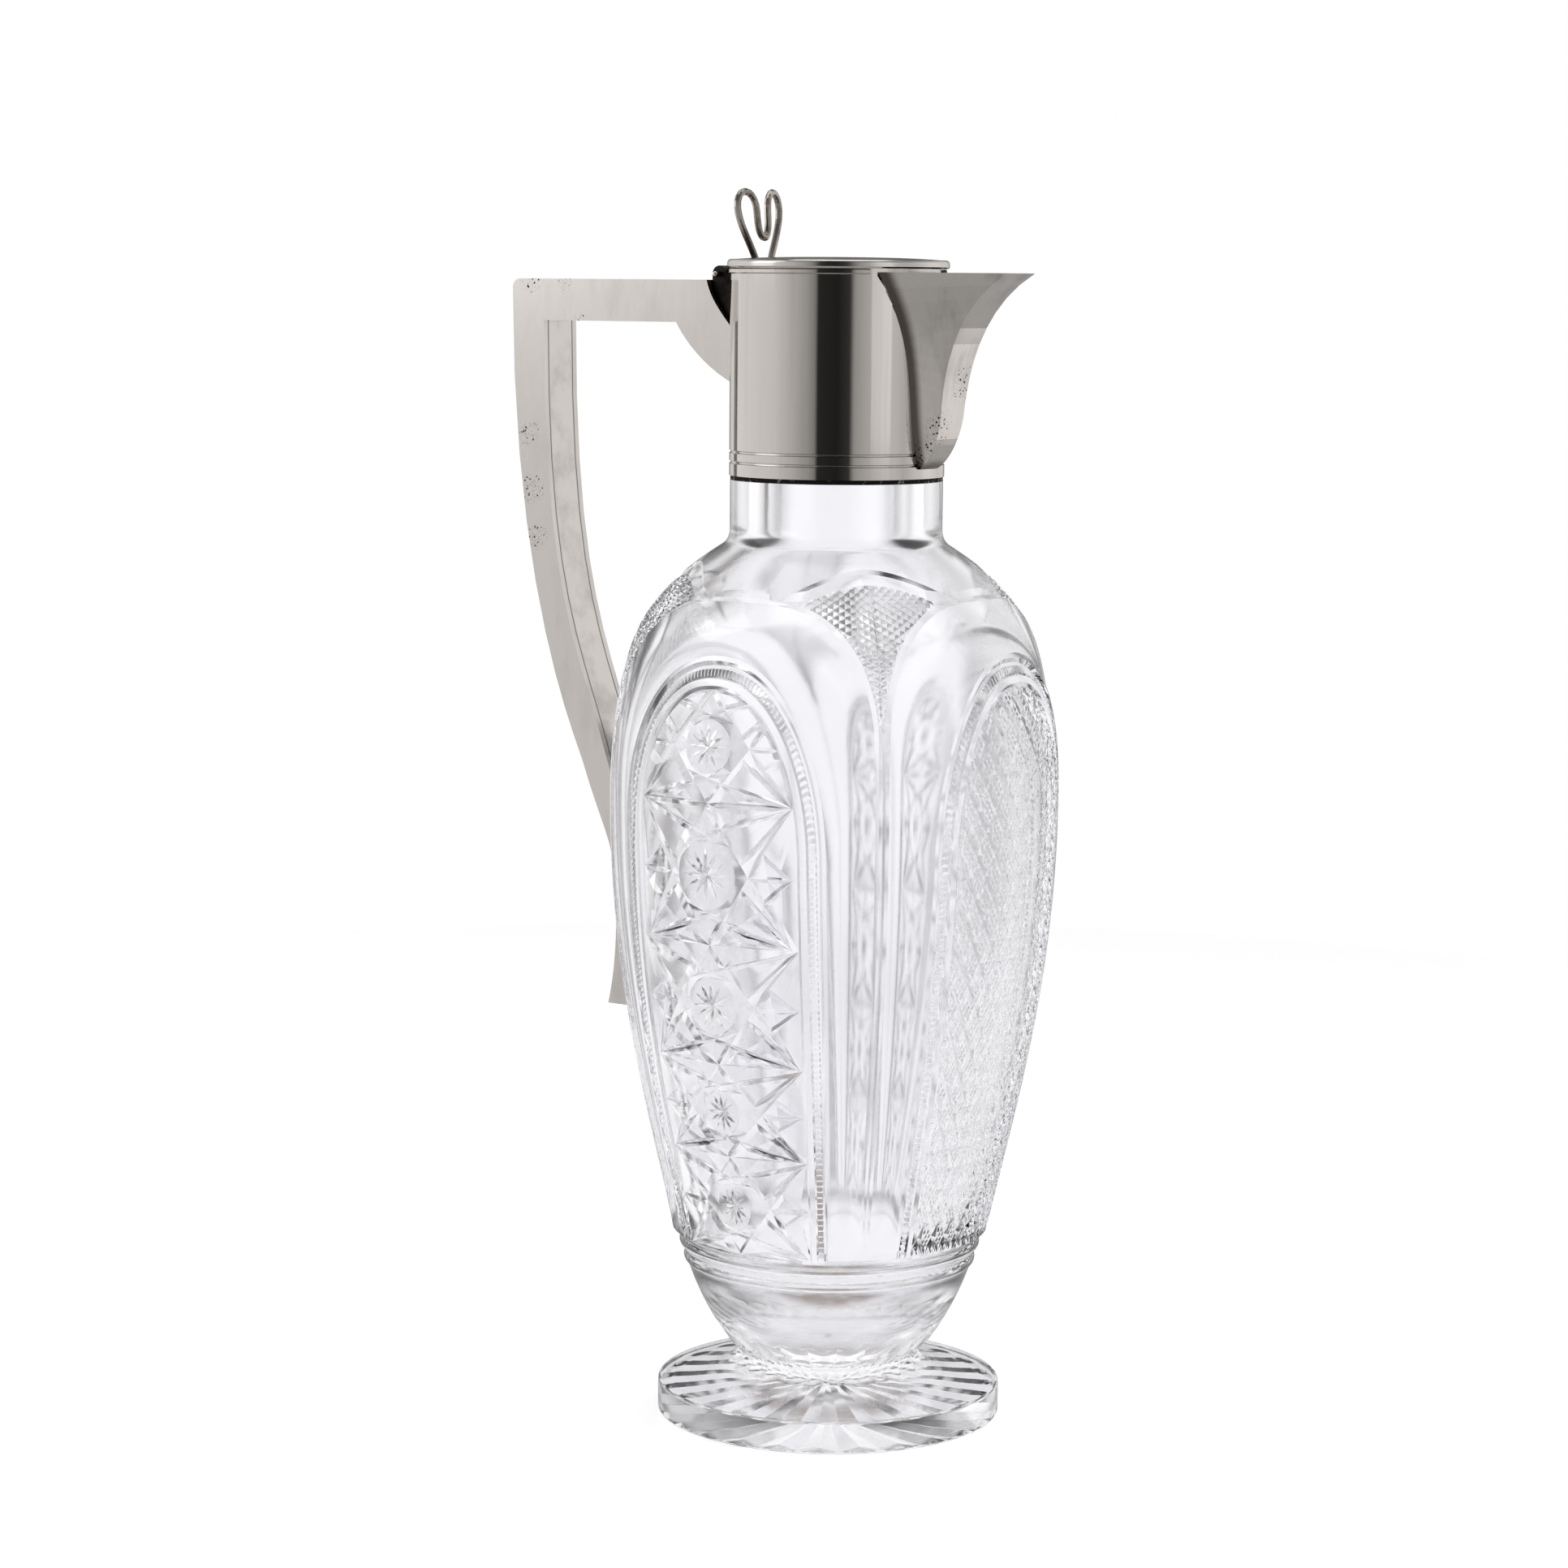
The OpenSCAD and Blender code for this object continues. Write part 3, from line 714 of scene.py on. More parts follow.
    def lay_pillar(self) -> None:
        """Draw the ridges between two flutes, and the fan's bevels and outline."""
        flat = self.pattern
        bevel = self.bevel.line(self.base, self.side_steps, self.arch_steps)
        half = len(self.rim) // 2
        start = min(i for i, p in enumerate(self.rim[:half]) if p[1] >= self.fan_start)
        self.fan_foot = self.rim[start][1]
        for side in (1, -1):
            rows = []
            for i in range(start + 1):
                a, z = self.rim[i]
                middle, depth = -self.ridge[0], self.ridge[1] * smooth((z - self.base) / self.ridge_fade)
                if i == start:
                    middle, depth = bevel[start][0], self.cut
                rows.append([flat.point(-side * a, z, 0.0), flat.point(-side * middle, z, depth),
                             flat.point(side * self.half_width, z, 0.0 if i < start else self.cut)])
            flat.net(rows)
            meet = start
            while self.fan_top(bevel[meet + 1][0]) > bevel[meet + 1][1] + 0.3:
                meet += 1
            edge = []
            for i in range(start, meet + 1):
                outer = flat.point(-side * self.rim[i][0], self.rim[i][1], 0.0)
                inner = flat.point(-side * bevel[i][0], bevel[i][1], self.cut)
                flat.join(outer, inner)
                edge.append(inner)
            first = abs(bevel[meet][0])
            count = self.crest_steps
            between = (self.cusp[0] + first) / 2
            lips = [flat.point(side * between, self.crest(between), 0.0)]
            for i in range(1, count + 1):
                angle = first + (self.half_width - first) * i / count
                inner = flat.point(side * angle, self.fan_top(angle), self.cut)
                lips.append(flat.point(side * angle, self.crest(angle) - self.lip[0], self.lip[1]))
                flat.join(inner, lips[-1])
                flat.join(lips[-1], flat.point(side * angle, self.crest(angle), 0.0))
                edge.append(inner)
            flat.chain(edge)
            flat.chain(lips)
        self.meet = first

    def lay_shoulder(self) -> None:
        """Draw the line where the cutting ends, and the plain glass above it."""
        flat = self.pattern
        inner = [a for a, z in self.rim if z > self.rim_from and abs(a) < self.cusp[0]]
        angles = inner + [self.cusp[0], -self.cusp[0]]
        count = self.crest_steps
        for side in (1, -1):
            angles += [side * (self.meet + (self.half_width - self.meet) * i / count)
                       for i in range(count + 1)]
            angles.append(side * (self.cusp[0] + self.meet) / 2)
        angles = sorted({round(a, 6) for a in angles})
        crest = [flat.point(a, self.crest(a), 0.0) for a in angles]
        flat.chain(crest)
        rims = {round(a, 6): z for a, z in self.rim if z > self.rim_from}
        middle = []
        for a in sorted(round(v, 6) for v in inner):
            low, high = rims[a], self.crest(a)
            point = flat.point(a, (low + high) / 2, 0.5 * (1 - (a / self.cusp[0]) ** 2))
            flat.join(flat.point(a, low, 0.0), point)
            flat.join(point, flat.point(a, high, 0.0))
            middle.append(point)
        flat.chain(middle)
        steps = 6
        rows = []
        for a in angles:
            low = self.crest(a)
            rows.append([flat.point(a, low + (self.top - low) * i / steps, 0.0)
                         for i in range(steps + 1)])
        flat.net(rows)

    def draw(self, a: Point2, b: Point2, inside: Region, depth: float = 0.75) -> None:
        """Draw one mitre cut where it lies inside a region, run a little over the region's edge.

        Args:
            a: one end.
            b: other end.
            inside: test for a place in the region.
            depth: depth of the cut.
        """
        ends = clip(a, b, inside)
        if not ends:
            return
        share = self.overrun / max(self.overrun, math.dist(*ends))
        marks = []
        for whole, end, other in ((a, *ends), (b, *ends[::-1])):
            beyond = share if math.dist(whole, end) > 1e-4 and end[1] > self.base + 1 else 0.0
            height = end[1] + (end[1] - other[1]) * beyond
            if height < self.base + self.snap:
                height = self.base
            marks.append(self.pattern.point(end[0] + (end[0] - other[0]) * beyond, height,
                                            depth * smooth((height - self.base) / self.fade)))
        self.pattern.join(*marks)

    def lay_fan(self) -> None:
        """Draw the fan's diamonds."""
        across, up = self.fan_pitch
        for side in (1, -1):
            for k in range(*self.fan_rows):
                level = self.fan_level + k * up
                for slant in (1, -1):
                    end = (side * (self.half_width - self.fan_reach),
                           level + slant * self.fan_reach * up / across)
                    self.draw((side * self.half_width, level), end,
                              lambda a, z, s=side: a * s > 0 and self.in_fan(a, z))

    def lay_stars(self) -> None:
        """Draw the mitres that frame the stars, and the fans between them."""
        self.stars: list[tuple[Point2, float, float]] = []
        shares = (0.0, 0.17, 0.29, 0.42, 0.5, 0.68, 1.0)
        for high, low in zip(self.levels, self.levels[1:]):
            wide = self.arches[0].half(low if high > 180 else high)
            half = (high + low) / 2
            self.stars.append(((0.0, half), wide / 2, (high - low) / 2))
            for side in (1, -1):
                top, foot = (0.0, high), (0.0, low)
                corner_high, corner_low = (side * wide, high), (side * wide, low)
                edge, crossing = (side * wide, half), (side * wide / 2, half)
                for start, end in ((foot, corner_high), (top, corner_low)):
                    spots = [along(start, end, share) for share in shares]
                    for a, b in zip(spots, spots[1:]):
                        self.draw(a, b, self.in_field)
                for corner, middle, other in ((corner_high, top, low), (corner_low, foot, high)):
                    near, far = (side * wide, other), (-side * wide, other)
                    end = along(middle, far, 0.29)
                    spots = [along(corner, end, share) for share in
                             (0.0, self.crossing(corner, end, middle, near), 1 / 1.29, 1.0)]
                    for a, b in zip(spots, spots[1:]):
                        self.draw(a, b, self.in_field)
                    for share in (0.17, 0.42):
                        self.draw(corner, along(middle, near, share), self.in_field)
                self.draw(edge, crossing, self.in_field)
                self.draw(edge, along(foot, corner_high, 0.68), self.in_field)
                self.draw(edge, along(top, corner_low, 0.68), self.in_field)
                self.draw(corner_low, foot, self.in_field)

    @staticmethod
    def crossing(a: Point2, b: Point2, c: Point2, d: Point2) -> float:
        """Share along the line from a to b at which it meets the line from c to d."""
        ex, ez, fx, fz = b[0] - a[0], b[1] - a[1], d[0] - c[0], d[1] - c[1]
        return ((c[0] - a[0]) * fz - (c[1] - a[1]) * fx) / (ex * fz - ez * fx)

    def lay_diamonds(self) -> None:
        """Draw the lattice of deep cuts, and finer cuts across each diamond's flat top."""
        across, up, base = 6.1, 10.4, 40.0
        deep, fine = self.lattice_cuts
        inset, parts = self.lattice_inset, 3
        marks = [inset + (1 - 2 * inset) * n / parts for n in range(parts + 1)]

        def at(u: float, v: float) -> Point2:
            """A place counted in steps along the two slants of the lattice."""
            return ((u - v) * across / 2, base + (u + v) * up / 2)

        steps, widest, tallest = range(-4, 36), 9, 30
        spots = [(u, v) for u in steps for v in steps if abs(u - v) <= widest and 0 <= u + v < tallest]
        for u, v in spots:
            for n in range(parts):
                low, high = n / parts, (n + 1) / parts
                self.draw(at(u, v + low), at(u, v + high), self.in_field, deep)
                self.draw(at(u + low, v), at(u + high, v), self.in_field, deep)
        for u, v in spots:
            for k in marks[1:-1] + [marks[0], marks[-1]]:
                depth = 0.0 if k in (marks[0], marks[-1]) else fine
                for low, high in zip(marks, marks[1:]):
                    self.draw(at(u + k, v + low), at(u + k, v + high), self.in_field, depth)
                    self.draw(at(u + low, v + k), at(u + high, v + k), self.in_field, depth)
            for a in (0, 1):
                for b in (0, 1):
                    inner = at(u + (marks[-1] if a else marks[0]), v + (marks[-1] if b else marks[0]))
                    self.draw(at(u + a, v + b), inner, self.in_field, deep)

    def zone(self, angle: float, height: float) -> Zone:
        """Finish of the face whose middle is at a place."""
        if self.arches[0].holds(angle, height):
            if self.panel is Panel.STARS:
                for (x, z), wide, tall in self.stars:
                    if max(abs(angle - x) / wide, abs(height - z) / tall) < self.daisy_share:
                        return Zone.DAISY
            return Zone.FACET
        if self.arches[4].holds(angle, height) and not self.arches[3].holds(angle, height):
            return Zone.NOTCH
        return Zone.FACET if self.in_fan(angle, height) else Zone.PLAIN

    def build(self) -> tuple[list[Point3], list[tuple[int, ...]]]:
        """Work out the quarter's faces.

        Returns:
            The points as angle, height and depth, and the faces over them.
        """
        self.lay_arches()
        self.lay_pillar()
        self.lay_shoulder()
        self.lay_fan()
        if self.panel is Panel.STARS:
            self.lay_stars()
        else:
            self.lay_diamonds()
        flat = self.pattern
        feet = sorted((a, i) for i, (a, z, _) in enumerate(flat.points) if z == self.base)
        flat.chain([i for _, i in feet])
        spots = [Vector((a * flat.scale, z)) for a, z, _ in flat.points]
        found, edges, faces, sources, origins, _ = delaunay_2d_cdt(
            spots, sorted(flat.lines), [], 0, 2e-4, True)
        drawn = {(min(edge), max(edge)) for edge, origin in zip(edges, origins) if origin}
        self.points: list[Point3] = []
        for spot, source in zip(found, sources):
            depth = flat.points[source[0]][2] if source else self.cut
            if not source:
                depth *= smooth((spot[1] - self.base) / self.fade)
            self.new_point(spot, depth)
        self.mesh: list[tuple[int, ...]] = []
        for face in merge_cells(faces, drawn):
            self.finish(face)
        return self.points, self.mesh

    def new_point(self, place: Sequence[float], depth: float) -> int:
        """Add a point at a flat place in millimetres, and return its number."""
        self.points.append((place[0] / self.pattern.scale, place[1], depth))
        return len(self.points) - 1

    def finish(self, face: list[int]) -> None:
        """Raise one face of the pattern between its cuts."""
        scale = self.pattern.scale
        ring = [(self.points[i][0] * scale, self.points[i][1]) for i in face]
        area = sum(p[0] * q[1] - q[0] * p[1] for p, q in around(ring)) / 2
        if abs(area) < 1e-6:
            return
        if area < 0:
            face, ring, area = face[::-1], ring[::-1], -area
        centre = tuple(sum((p[k] + q[k]) * (p[0] * q[1] - q[0] * p[1]) for p, q in around(ring))
                       / (6 * area) for k in (0, 1))
        zone = self.zone(centre[0] / scale, centre[1])
        reach = inner_radius(ring, centre)
        floor = max(self.points[i][2] for i in face)
        if zone is Zone.PLAIN and len(face) <= 4:
            self.mesh.append(tuple(face))
        elif zone is Zone.PLAIN:
            for tri in tessellate_polygon([[Vector((*p, 0)) for p in ring]]):
                a, b, c = (ring[i] for i in tri)
                turn = (b[0] - a[0]) * (c[1] - a[1]) - (c[0] - a[0]) * (b[1] - a[1])
                self.mesh.append(tuple(face[i] for i in (tri if turn > 0 else tri[::-1])))
        elif zone is Zone.NOTCH and len(face) == 4:
            self.tooth(face, ring)
        elif zone is Zone.DAISY:
            self.daisy(face, ring, centre, reach, floor)
        elif zone is Zone.FACET and reach * self.slope > floor * self.flat_share:
            share = 1 - floor / (reach * self.slope)
            top = [self.new_point(along(centre, p, share), 0.0) for p in ring]
            band(face, top, self.mesh)
            self.cap(top, centre, 0.0)
        else:
            self.cap(face, centre, floor - min(floor, reach * self.slope))

    def tooth(self, face: list[int], ring: list[Point2]) -> None:
        """Raise one tooth of the notched band as a small hipped roof across the band."""
        lengths = [math.dist(p, q) for p, q in around(ring)]
        first = 0 if lengths[0] + lengths[2] < lengths[1] + lengths[3] else 1
        a, b, c, d = face[first:] + face[:first]
        spots = ring[first:] + ring[:first]
        low, high = along(spots[0], spots[1], 0.5), along(spots[2], spots[3], 0.5)
        start, end = (self.new_point(along(low, high, share), 0.02) for share in (0.14, 0.86))
        self.mesh += [(a, b, start), (b, c, end, start), (c, d, end), (d, a, start, end)]

    def cap(self, ring: list[int], centre: Point2, depth: float) -> None:
        """Close a ring of points with faces that meet at its middle."""
        middle = self.new_point(centre, depth)
        self.mesh += [(a, b, middle) for a, b in around(ring)]

    def daisy(self, face: list[int], ring: list[Point2], centre: Point2, reach: float,
              floor: float) -> None:
        """Cut a star of twelve rays into a flat-topped button.

        Args:
            face: the button's corners.
            ring: their flat places.
            centre: middle of the button.
            reach: distance from the middle to the nearest side.
            floor: depth of the cuts round the button.
        """
        spacing = math.tau / self.daisy_rays

        def circle(radius: float, half: float, cut: float, land: float) -> tuple[list[int], list[float]]:
            """A ring of points: for each ray its bottom, its two edges and the land beside it."""
            wide = min(half / radius, 0.45 * spacing)
            bearings = [k * spacing + offset for k in range(self.daisy_rays)
                        for offset in (0.0, wide, spacing / 2, spacing - wide)]
            depths = (cut, land, land, land) * self.daisy_rays
            return [self.new_point((centre[0] + radius * math.cos(turn),
                                    centre[1] + radius * math.sin(turn)), depth)
                    for turn, depth in zip(bearings, depths)], bearings

        turns = {i: math.atan2(z - centre[1], x - centre[0]) % math.tau for i, (x, z) in zip(face, ring)}
        border = sorted(turns, key=turns.get)
        outer, outer_turns = circle(reach - floor / self.slope, 0.3, 0.0, 0.0)
        rows = [outer]
        for share, half, cut, land in ((0.72, 0.04, 0.0, 0.0), (0.52, 0.42, 0.42, 0.0),
                                       (0.27, 0.44, 0.55, 0.0), (0.1, 0.3, 0.65, 0.4)):
            rows.append(circle(reach * share, half, cut, land)[0])
        for low, high in zip(rows, rows[1:]):
            band(low, high, self.mesh)
        self.cap(rows[-1], centre, 0.7)
        stitch(border, outer, [turns[i] for i in border], outer_turns, self.mesh)


def stitch(low: list[int], high: list[int], low_turn: list[float], high_turn: list[float],
           mesh: list[tuple[int, ...]]) -> None:
    """Join two closed rings of different counts with triangles.

    Args:
        low: outer or lower ring.
        high: inner or upper ring.
        low_turn: rising angle in radians of each point of the first ring.
        high_turn: rising angle of each point of the second ring.
        mesh: list that takes the faces.
    """
    i = j = 0
    n, m = len(low), len(high)
    while i < n or j < m:
        next_low = low_turn[i + 1] if i + 1 < n else low_turn[0] + math.tau if i < n else 1e9
        next_high = high_turn[j + 1] if j + 1 < m else high_turn[0] + math.tau if j < m else 1e9
        if next_low <= next_high:
            mesh.append((low[i % n], low[(i + 1) % n], high[j % m]))
            i += 1
        else:
            mesh.append((low[i % n], high[(j + 1) % m], high[j % m]))
            j += 1


# ---------------------------------------------------------------- meshes


def to_object(name: str, points: Iterable[Point3], faces: Iterable[Sequence[int]],
              sharp: float = 30.0, haze: Sequence[float] = ()) -> bpy.types.Object:
    """Make an object from points in millimetres.

    Args:
        name: the piece's name.
        points: the points.
        faces: the faces over them.
        sharp: angle in degrees above which an edge stays sharp.
        haze: how hazy the glass is at each point.

    Returns:
        The new object, at the origin.
    """
    mesh = bpy.data.meshes.new(name)
    mesh.from_pydata([tuple(v * MM for v in p) for p in points], [], [tuple(f) for f in faces])
    if haze:
        mesh.attributes.new("haze", "FLOAT", "POINT").data.foreach_set("value", list(haze))
    piece = bpy.data.objects.new(name, mesh)
    bpy.context.scene.collection.objects.link(piece)
    tidy(piece, sharp)
    return piece


def tidy(piece: bpy.types.Object, sharp: float) -> None:
    """Merge doubles, turn faces outwards and shade a piece smoothly up to its sharp edges."""
    shape = bmesh.new()
    shape.from_mesh(piece.data)
    bmesh.ops.remove_doubles(shape, verts=shape.verts, dist=WELD)
    bmesh.ops.dissolve_degenerate(shape, edges=shape.edges, dist=1e-7)
    bmesh.ops.recalc_face_normals(shape, faces=shape.faces)
    open_edges = sum(1 for e in shape.edges if len(e.link_faces) != 2)
    shape.to_mesh(piece.data)
    shape.free()
    for polygon in piece.data.polygons:
        polygon.use_smooth = True
    piece.data.set_sharp_from_angle(angle=math.radians(sharp))
    log.info("%s: %d faces, %d edges not shared by two", piece.name, len(piece.data.polygons),
             open_edges)


def dress(piece: bpy.types.Object, material: bpy.types.Material) -> None:
    """Give a whole piece one material."""
    piece.data.materials.clear()
    piece.data.materials.append(material)


class TurnedCopies:
    """A Geometry Nodes tree that repeats a mesh round the jug's axis and welds the copies."""

    def __init__(self) -> None:
        """Build the tree."""
        tree = bpy.data.node_groups.new("turned_copies", "GeometryNodeTree")
        tree.is_modifier = True
        tree.interface.new_socket("Geometry", in_out="INPUT", socket_type="NodeSocketGeometry")
        self.inputs = {}
        for label, kind in (("Copies", "NodeSocketInt"), ("Weld Distance", "NodeSocketFloat"),
                            ("Finish", "NodeSocketMaterial")):
            item = tree.interface.new_socket(label, in_out="INPUT", socket_type=kind)
            self.inputs[label] = item.identifier
        tree.interface.new_socket("Geometry", in_out="OUTPUT", socket_type="NodeSocketGeometry")
        graph = Graph(tree)
        start = graph.nodes.new("NodeGroupInput")
        piece, count, reach, material = (Wire(graph, start.outputs[label]) for label in
                                         ("Geometry", "Copies", "Weld Distance", "Finish"))
        step = graph.add("ShaderNodeMath", {"operation": "DIVIDE"}, [math.tau, count])
        turn = graph.add("ShaderNodeCombineXYZ", None, {"Z": step * graph.add("GeometryNodeInputIndex")})
        spots = graph.add("GeometryNodePoints", None, {"Count": count})
        copy = graph.add("GeometryNodeInstanceOnPoints", None,
                         {"Points": spots, "Instance": piece, "Rotation": turn})
        real = graph.add("GeometryNodeRealizeInstances", None, [copy])
        weld = graph.add("GeometryNodeMergeByDistance", None, {"Geometry": real, "Distance": reach})
        finish = graph.add("GeometryNodeSetMaterial", None, {"Geometry": weld, "Material": material})
        graph.put(graph.nodes.new("NodeGroupOutput").inputs[0], finish)
        self.tree = tree

    def repeat(self, piece: bpy.types.Object, copies: int, weld: float,
               finish: bpy.types.Material) -> None:
        """Repeat a piece's mesh in place.

        Args:
            piece: object whose mesh is one share of the whole turn.
            copies: number of shares.
            weld: distance in metres under which points are merged.
            finish: material of the result.
        """
        modifier = piece.modifiers.new("turned", "NODES")
        modifier.node_group = self.tree
        modifier[self.inputs["Copies"]] = copies
        modifier[self.inputs["Weld Distance"]] = weld
        modifier[self.inputs["Finish"]] = finish
        graph = bpy.context.evaluated_depsgraph_get()
        mesh = bpy.data.meshes.new_from_object(piece.evaluated_get(graph))
        piece.modifiers.remove(modifier)
        piece.data = mesh


# ---------------------------------------------------------------- the glass body


@dataclass
class GlassBody:
    """The cut glass body: star-cut foot, fluted knop, cut panels, neck and cavity."""

    columns: int = 144
    rays: int = 24
    foot_r: float = 42.0
    rim_h: float = 8.0
    edge_r: float = 0.8
    star_depth: float = 0.9
    star_start: float = 0.28
    star_end: float = 40.8
    star_fade: float = 4.5
    star_haze: float = 0.9
    root: Point2 = (27.2, 213.5)
    cavity_r: float = 48.5
    floor_z: float = 22.5
    waist: Point2 = (22.2, 14.6)
    knop: Point2 = (24.8, 18.0)
    bead_root: Point2 = (36.0, 41.0)
    bead_r: float = 1.3
    panel_foot: Point2 = (38.6, 46.2)
    neck_r: float = 25.6
    ground_r: float = 24.2
    plaster_z: float = 228.9
    rim_z: float = 248.0
    bore_r: float = 14.0
    bore_flare: float = 2.0
    haze_top: float = 236.0
    neck_root_top: float = 217.5
    knop_flute: float = 0.7

    def foot_rings(self) -> list[tuple[Point2, float, float]]:
        """Rings from the middle of the foot's underside up to the panels.

        Returns:
            For each ring its radius and height, its rise at a star ray, and its flute depth.
        """
        rings = []
        inset = self.foot_r - self.edge_r
        for radius in (1.5, 3.0, 6.0, 10.0, 15.0, 20.0, 25.0, 30.0, 34.0, 36.3, 37.6, 38.8, 40.0, 40.8,
                       inset):
            rise = self.star_depth * (self.star_start + (1 - self.star_start) * radius / self.foot_r)
            rings.append(((radius, 0.0), rise * smooth((self.star_end - radius) / self.star_fade), 0.0))
        edge = quarter((inset, self.edge_r), self.edge_r, -90, 0)[1:] + [(self.foot_r, 4.6)]
        edge += quarter((inset, self.rim_h - self.edge_r), self.edge_r, 0, 90)
        rings += [(point, 0.0, 0.0) for point in edge]
        for point in bezier((inset, self.rim_h), (31.2, 8.2), (23.2, 10.6), self.waist, 18):
            share = smooth((25.5 - point[0]) / 3.0)
            rings.append((point, 0.0, self.knop_flute * share))
        for point in bezier(self.waist, (self.waist[0], 16.2), (23.8, 16.9), self.knop, 8):
            rings.append((point, 0.0, self.knop_flute))
        bowl = bezier(self.knop, (29.5, 24.5), (33.2, 31.5), self.bead_root, 30)
        for point in bowl:
            if point[1] < 37.3:
                rings.append((point, 0.0, self.knop_flute * (1 - smooth((point[1] - 18) / 6.5))))
        beads = [point for centre in ((34.5, 38.8), (35.6, 42.7))
                 for point in quarter(centre, self.bead_r, -62, 62, 8)]
        return rings + [(point, 0.0, 0.0) for point in beads + [(36.2, 44.5), (37.9, 45.7)]]

    def upper_rings(self) -> list[Point2]:
        """Rings from the neck's root over the glass rim and down the cavity to its floor."""
        rings = bezier(self.root, (26.3, 214.1), (self.neck_r, 215.5), (self.neck_r, 217.0), 6)
        rings += [(self.neck_r, 221.0), (self.neck_r, self.plaster_z), (self.ground_r, self.plaster_z)]
        rings += quarter((self.ground_r - 1, self.rim_z - 1), 1.0, 0, 90)
        flare = self.bore_r + self.bore_flare
        rings += bezier((flare, self.rim_z), (flare, self.rim_z - 3), (self.bore_r, self.rim_z - 4),
                        (self.bore_r, self.rim_z - 8), 8)
        bore_end, widest, lower = (self.bore_r, self.neck_root_top), (self.cavity_r, 153.5), (32.6, 46.2)
        rings += [(self.bore_r, 232.0), (self.bore_r, 224.0), bore_end]
        rings += bezier(bore_end, (self.bore_r, 207.0), (self.cavity_r, 195.0), widest, 30)
        rings += bezier(widest, (self.cavity_r, 110.5), (40.6, 76.2), lower, 26)
        rings += bezier(lower, (29.1, 33.2), (20.2, self.floor_z), (0, self.floor_z), 18)[:-1]
        return rings

    def turn(self, rings: list[tuple[Point2, float, float]], points: list[Point3],
             faces: list[tuple[int, ...]]) -> list[list[int]]:
        """Turn rings into a band of faces.

        Args:
            rings: radius and height, rise at a ray, and flute depth of each ring.
            points: list that takes the points.
            faces: list that takes the faces.

        Returns:
            The point numbers of each ring.
        """
        per_ray = self.columns // self.rays
        made = []
        for (radius, height), rise, flute in rings:
            row = []
            for k in range(self.columns):
                share = (k % per_ray) / per_ray
                valley = abs(2 * share - 1)
                hollow = 1 - (2 * ((share + 0.5) % 1.0) - 1) ** 2
                angle = math.tau * k / self.columns
                reach = radius - flute * hollow
                row.append(len(points))
                points.append((reach * math.cos(angle), reach * math.sin(angle),
                               height + rise * valley))
            made.append(row)
        for low, high in zip(made, made[1:]):
            band(low, high, faces)
        return made

    def build(self, copies: TurnedCopies, finish: bpy.types.Material) -> bpy.types.Object:
        """Make the body.

        Args:
            copies: the tree that repeats the cut half round the axis.
            finish: the glass.

        Returns:
            The closed body.
        """
        belly = Belly(BellyOutline())
        points: list[Point3] = []
        faces: list[tuple[int, ...]] = []
        for panel, centre in ((Panel.STARS, -90.0), (Panel.DIAMONDS, 0.0)):
            flat, cells = CutQuarter(panel).build()
            start = len(points)
            points += [belly.place(a + centre, z, d) for a, z, d in flat]
            faces += [tuple(i + start for i in cell) for cell in cells]
            log.info("%s panel: %d points, %d faces", panel.value, len(flat), len(cells))
        half = to_object("cut_half", points, faces)
        copies.repeat(half, 2, WELD, finish)
        sheet = half.data
        points = [tuple(v.co[i] / MM for i in range(3)) for v in sheet.vertices]
        faces = [tuple(p.vertices) for p in sheet.polygons]
        bpy.data.objects.remove(half)

        used = Counter((min(edge), max(edge)) for face in faces for edge in around(face))
        border = {i for edge, count in used.items() if count == 1 for i in edge}

        def ring_at(height: float) -> tuple[list[int], list[float]]:
            """The cut sheet's open edge near a height, in order round the jug."""
            found = sorted((math.atan2(points[i][1], points[i][0]) % math.tau, i) for i in border
                           if abs(points[i][2] - height) < 1)
            return [i for _, i in found], [a for a, _ in found]

        low, low_turn = ring_at(self.panel_foot[1])
        high, high_turn = ring_at(self.root[1])
        turns = [math.tau * k / self.columns for k in range(self.columns)]
        foot = self.turn(self.foot_rings(), points, faces)
        pole = len(points)
        points.append((0.0, 0.0, self.star_depth * self.star_start))
        faces += [(pole, b, a) for a, b in around(foot[0])]
        stitch(foot[-1], low, turns, low_turn, faces)
        upper = self.turn([(p, 0.0, 0.0) for p in self.upper_rings()], points, faces)
        stitch(high, upper[0], high_turn, turns, faces)
        floor = len(points)
        points.append((0.0, 0.0, self.floor_z))
        faces += [(floor, a, b) for a, b in around(upper[-1])]
        haze = [0.0] * len(points)
        for row in upper:
            for number in row:
                x, y, z = points[number]
                if z < self.haze_top and math.hypot(x, y) < belly.radius(z) - 3:
                    haze[number] = smooth((self.haze_top - z) / 8)
                elif z < self.neck_root_top:
                    haze[number] = 1.0
        for number in [pole] + [number for row in foot for number in row]:
            x, y, z = points[number]
            if z < self.star_depth + 0.1:
                fade = smooth((self.star_end - math.hypot(x, y)) / self.star_fade)
                haze[number] = self.star_haze * fade
        haze[floor] = 1.0
        piece = to_object("glass_body_cut", points, faces, 13.0, haze)
        dress(piece, finish)
        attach(piece, "jug")
        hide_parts("glass_body")
        return piece


# ---------------------------------------------------------------- the metal mounts


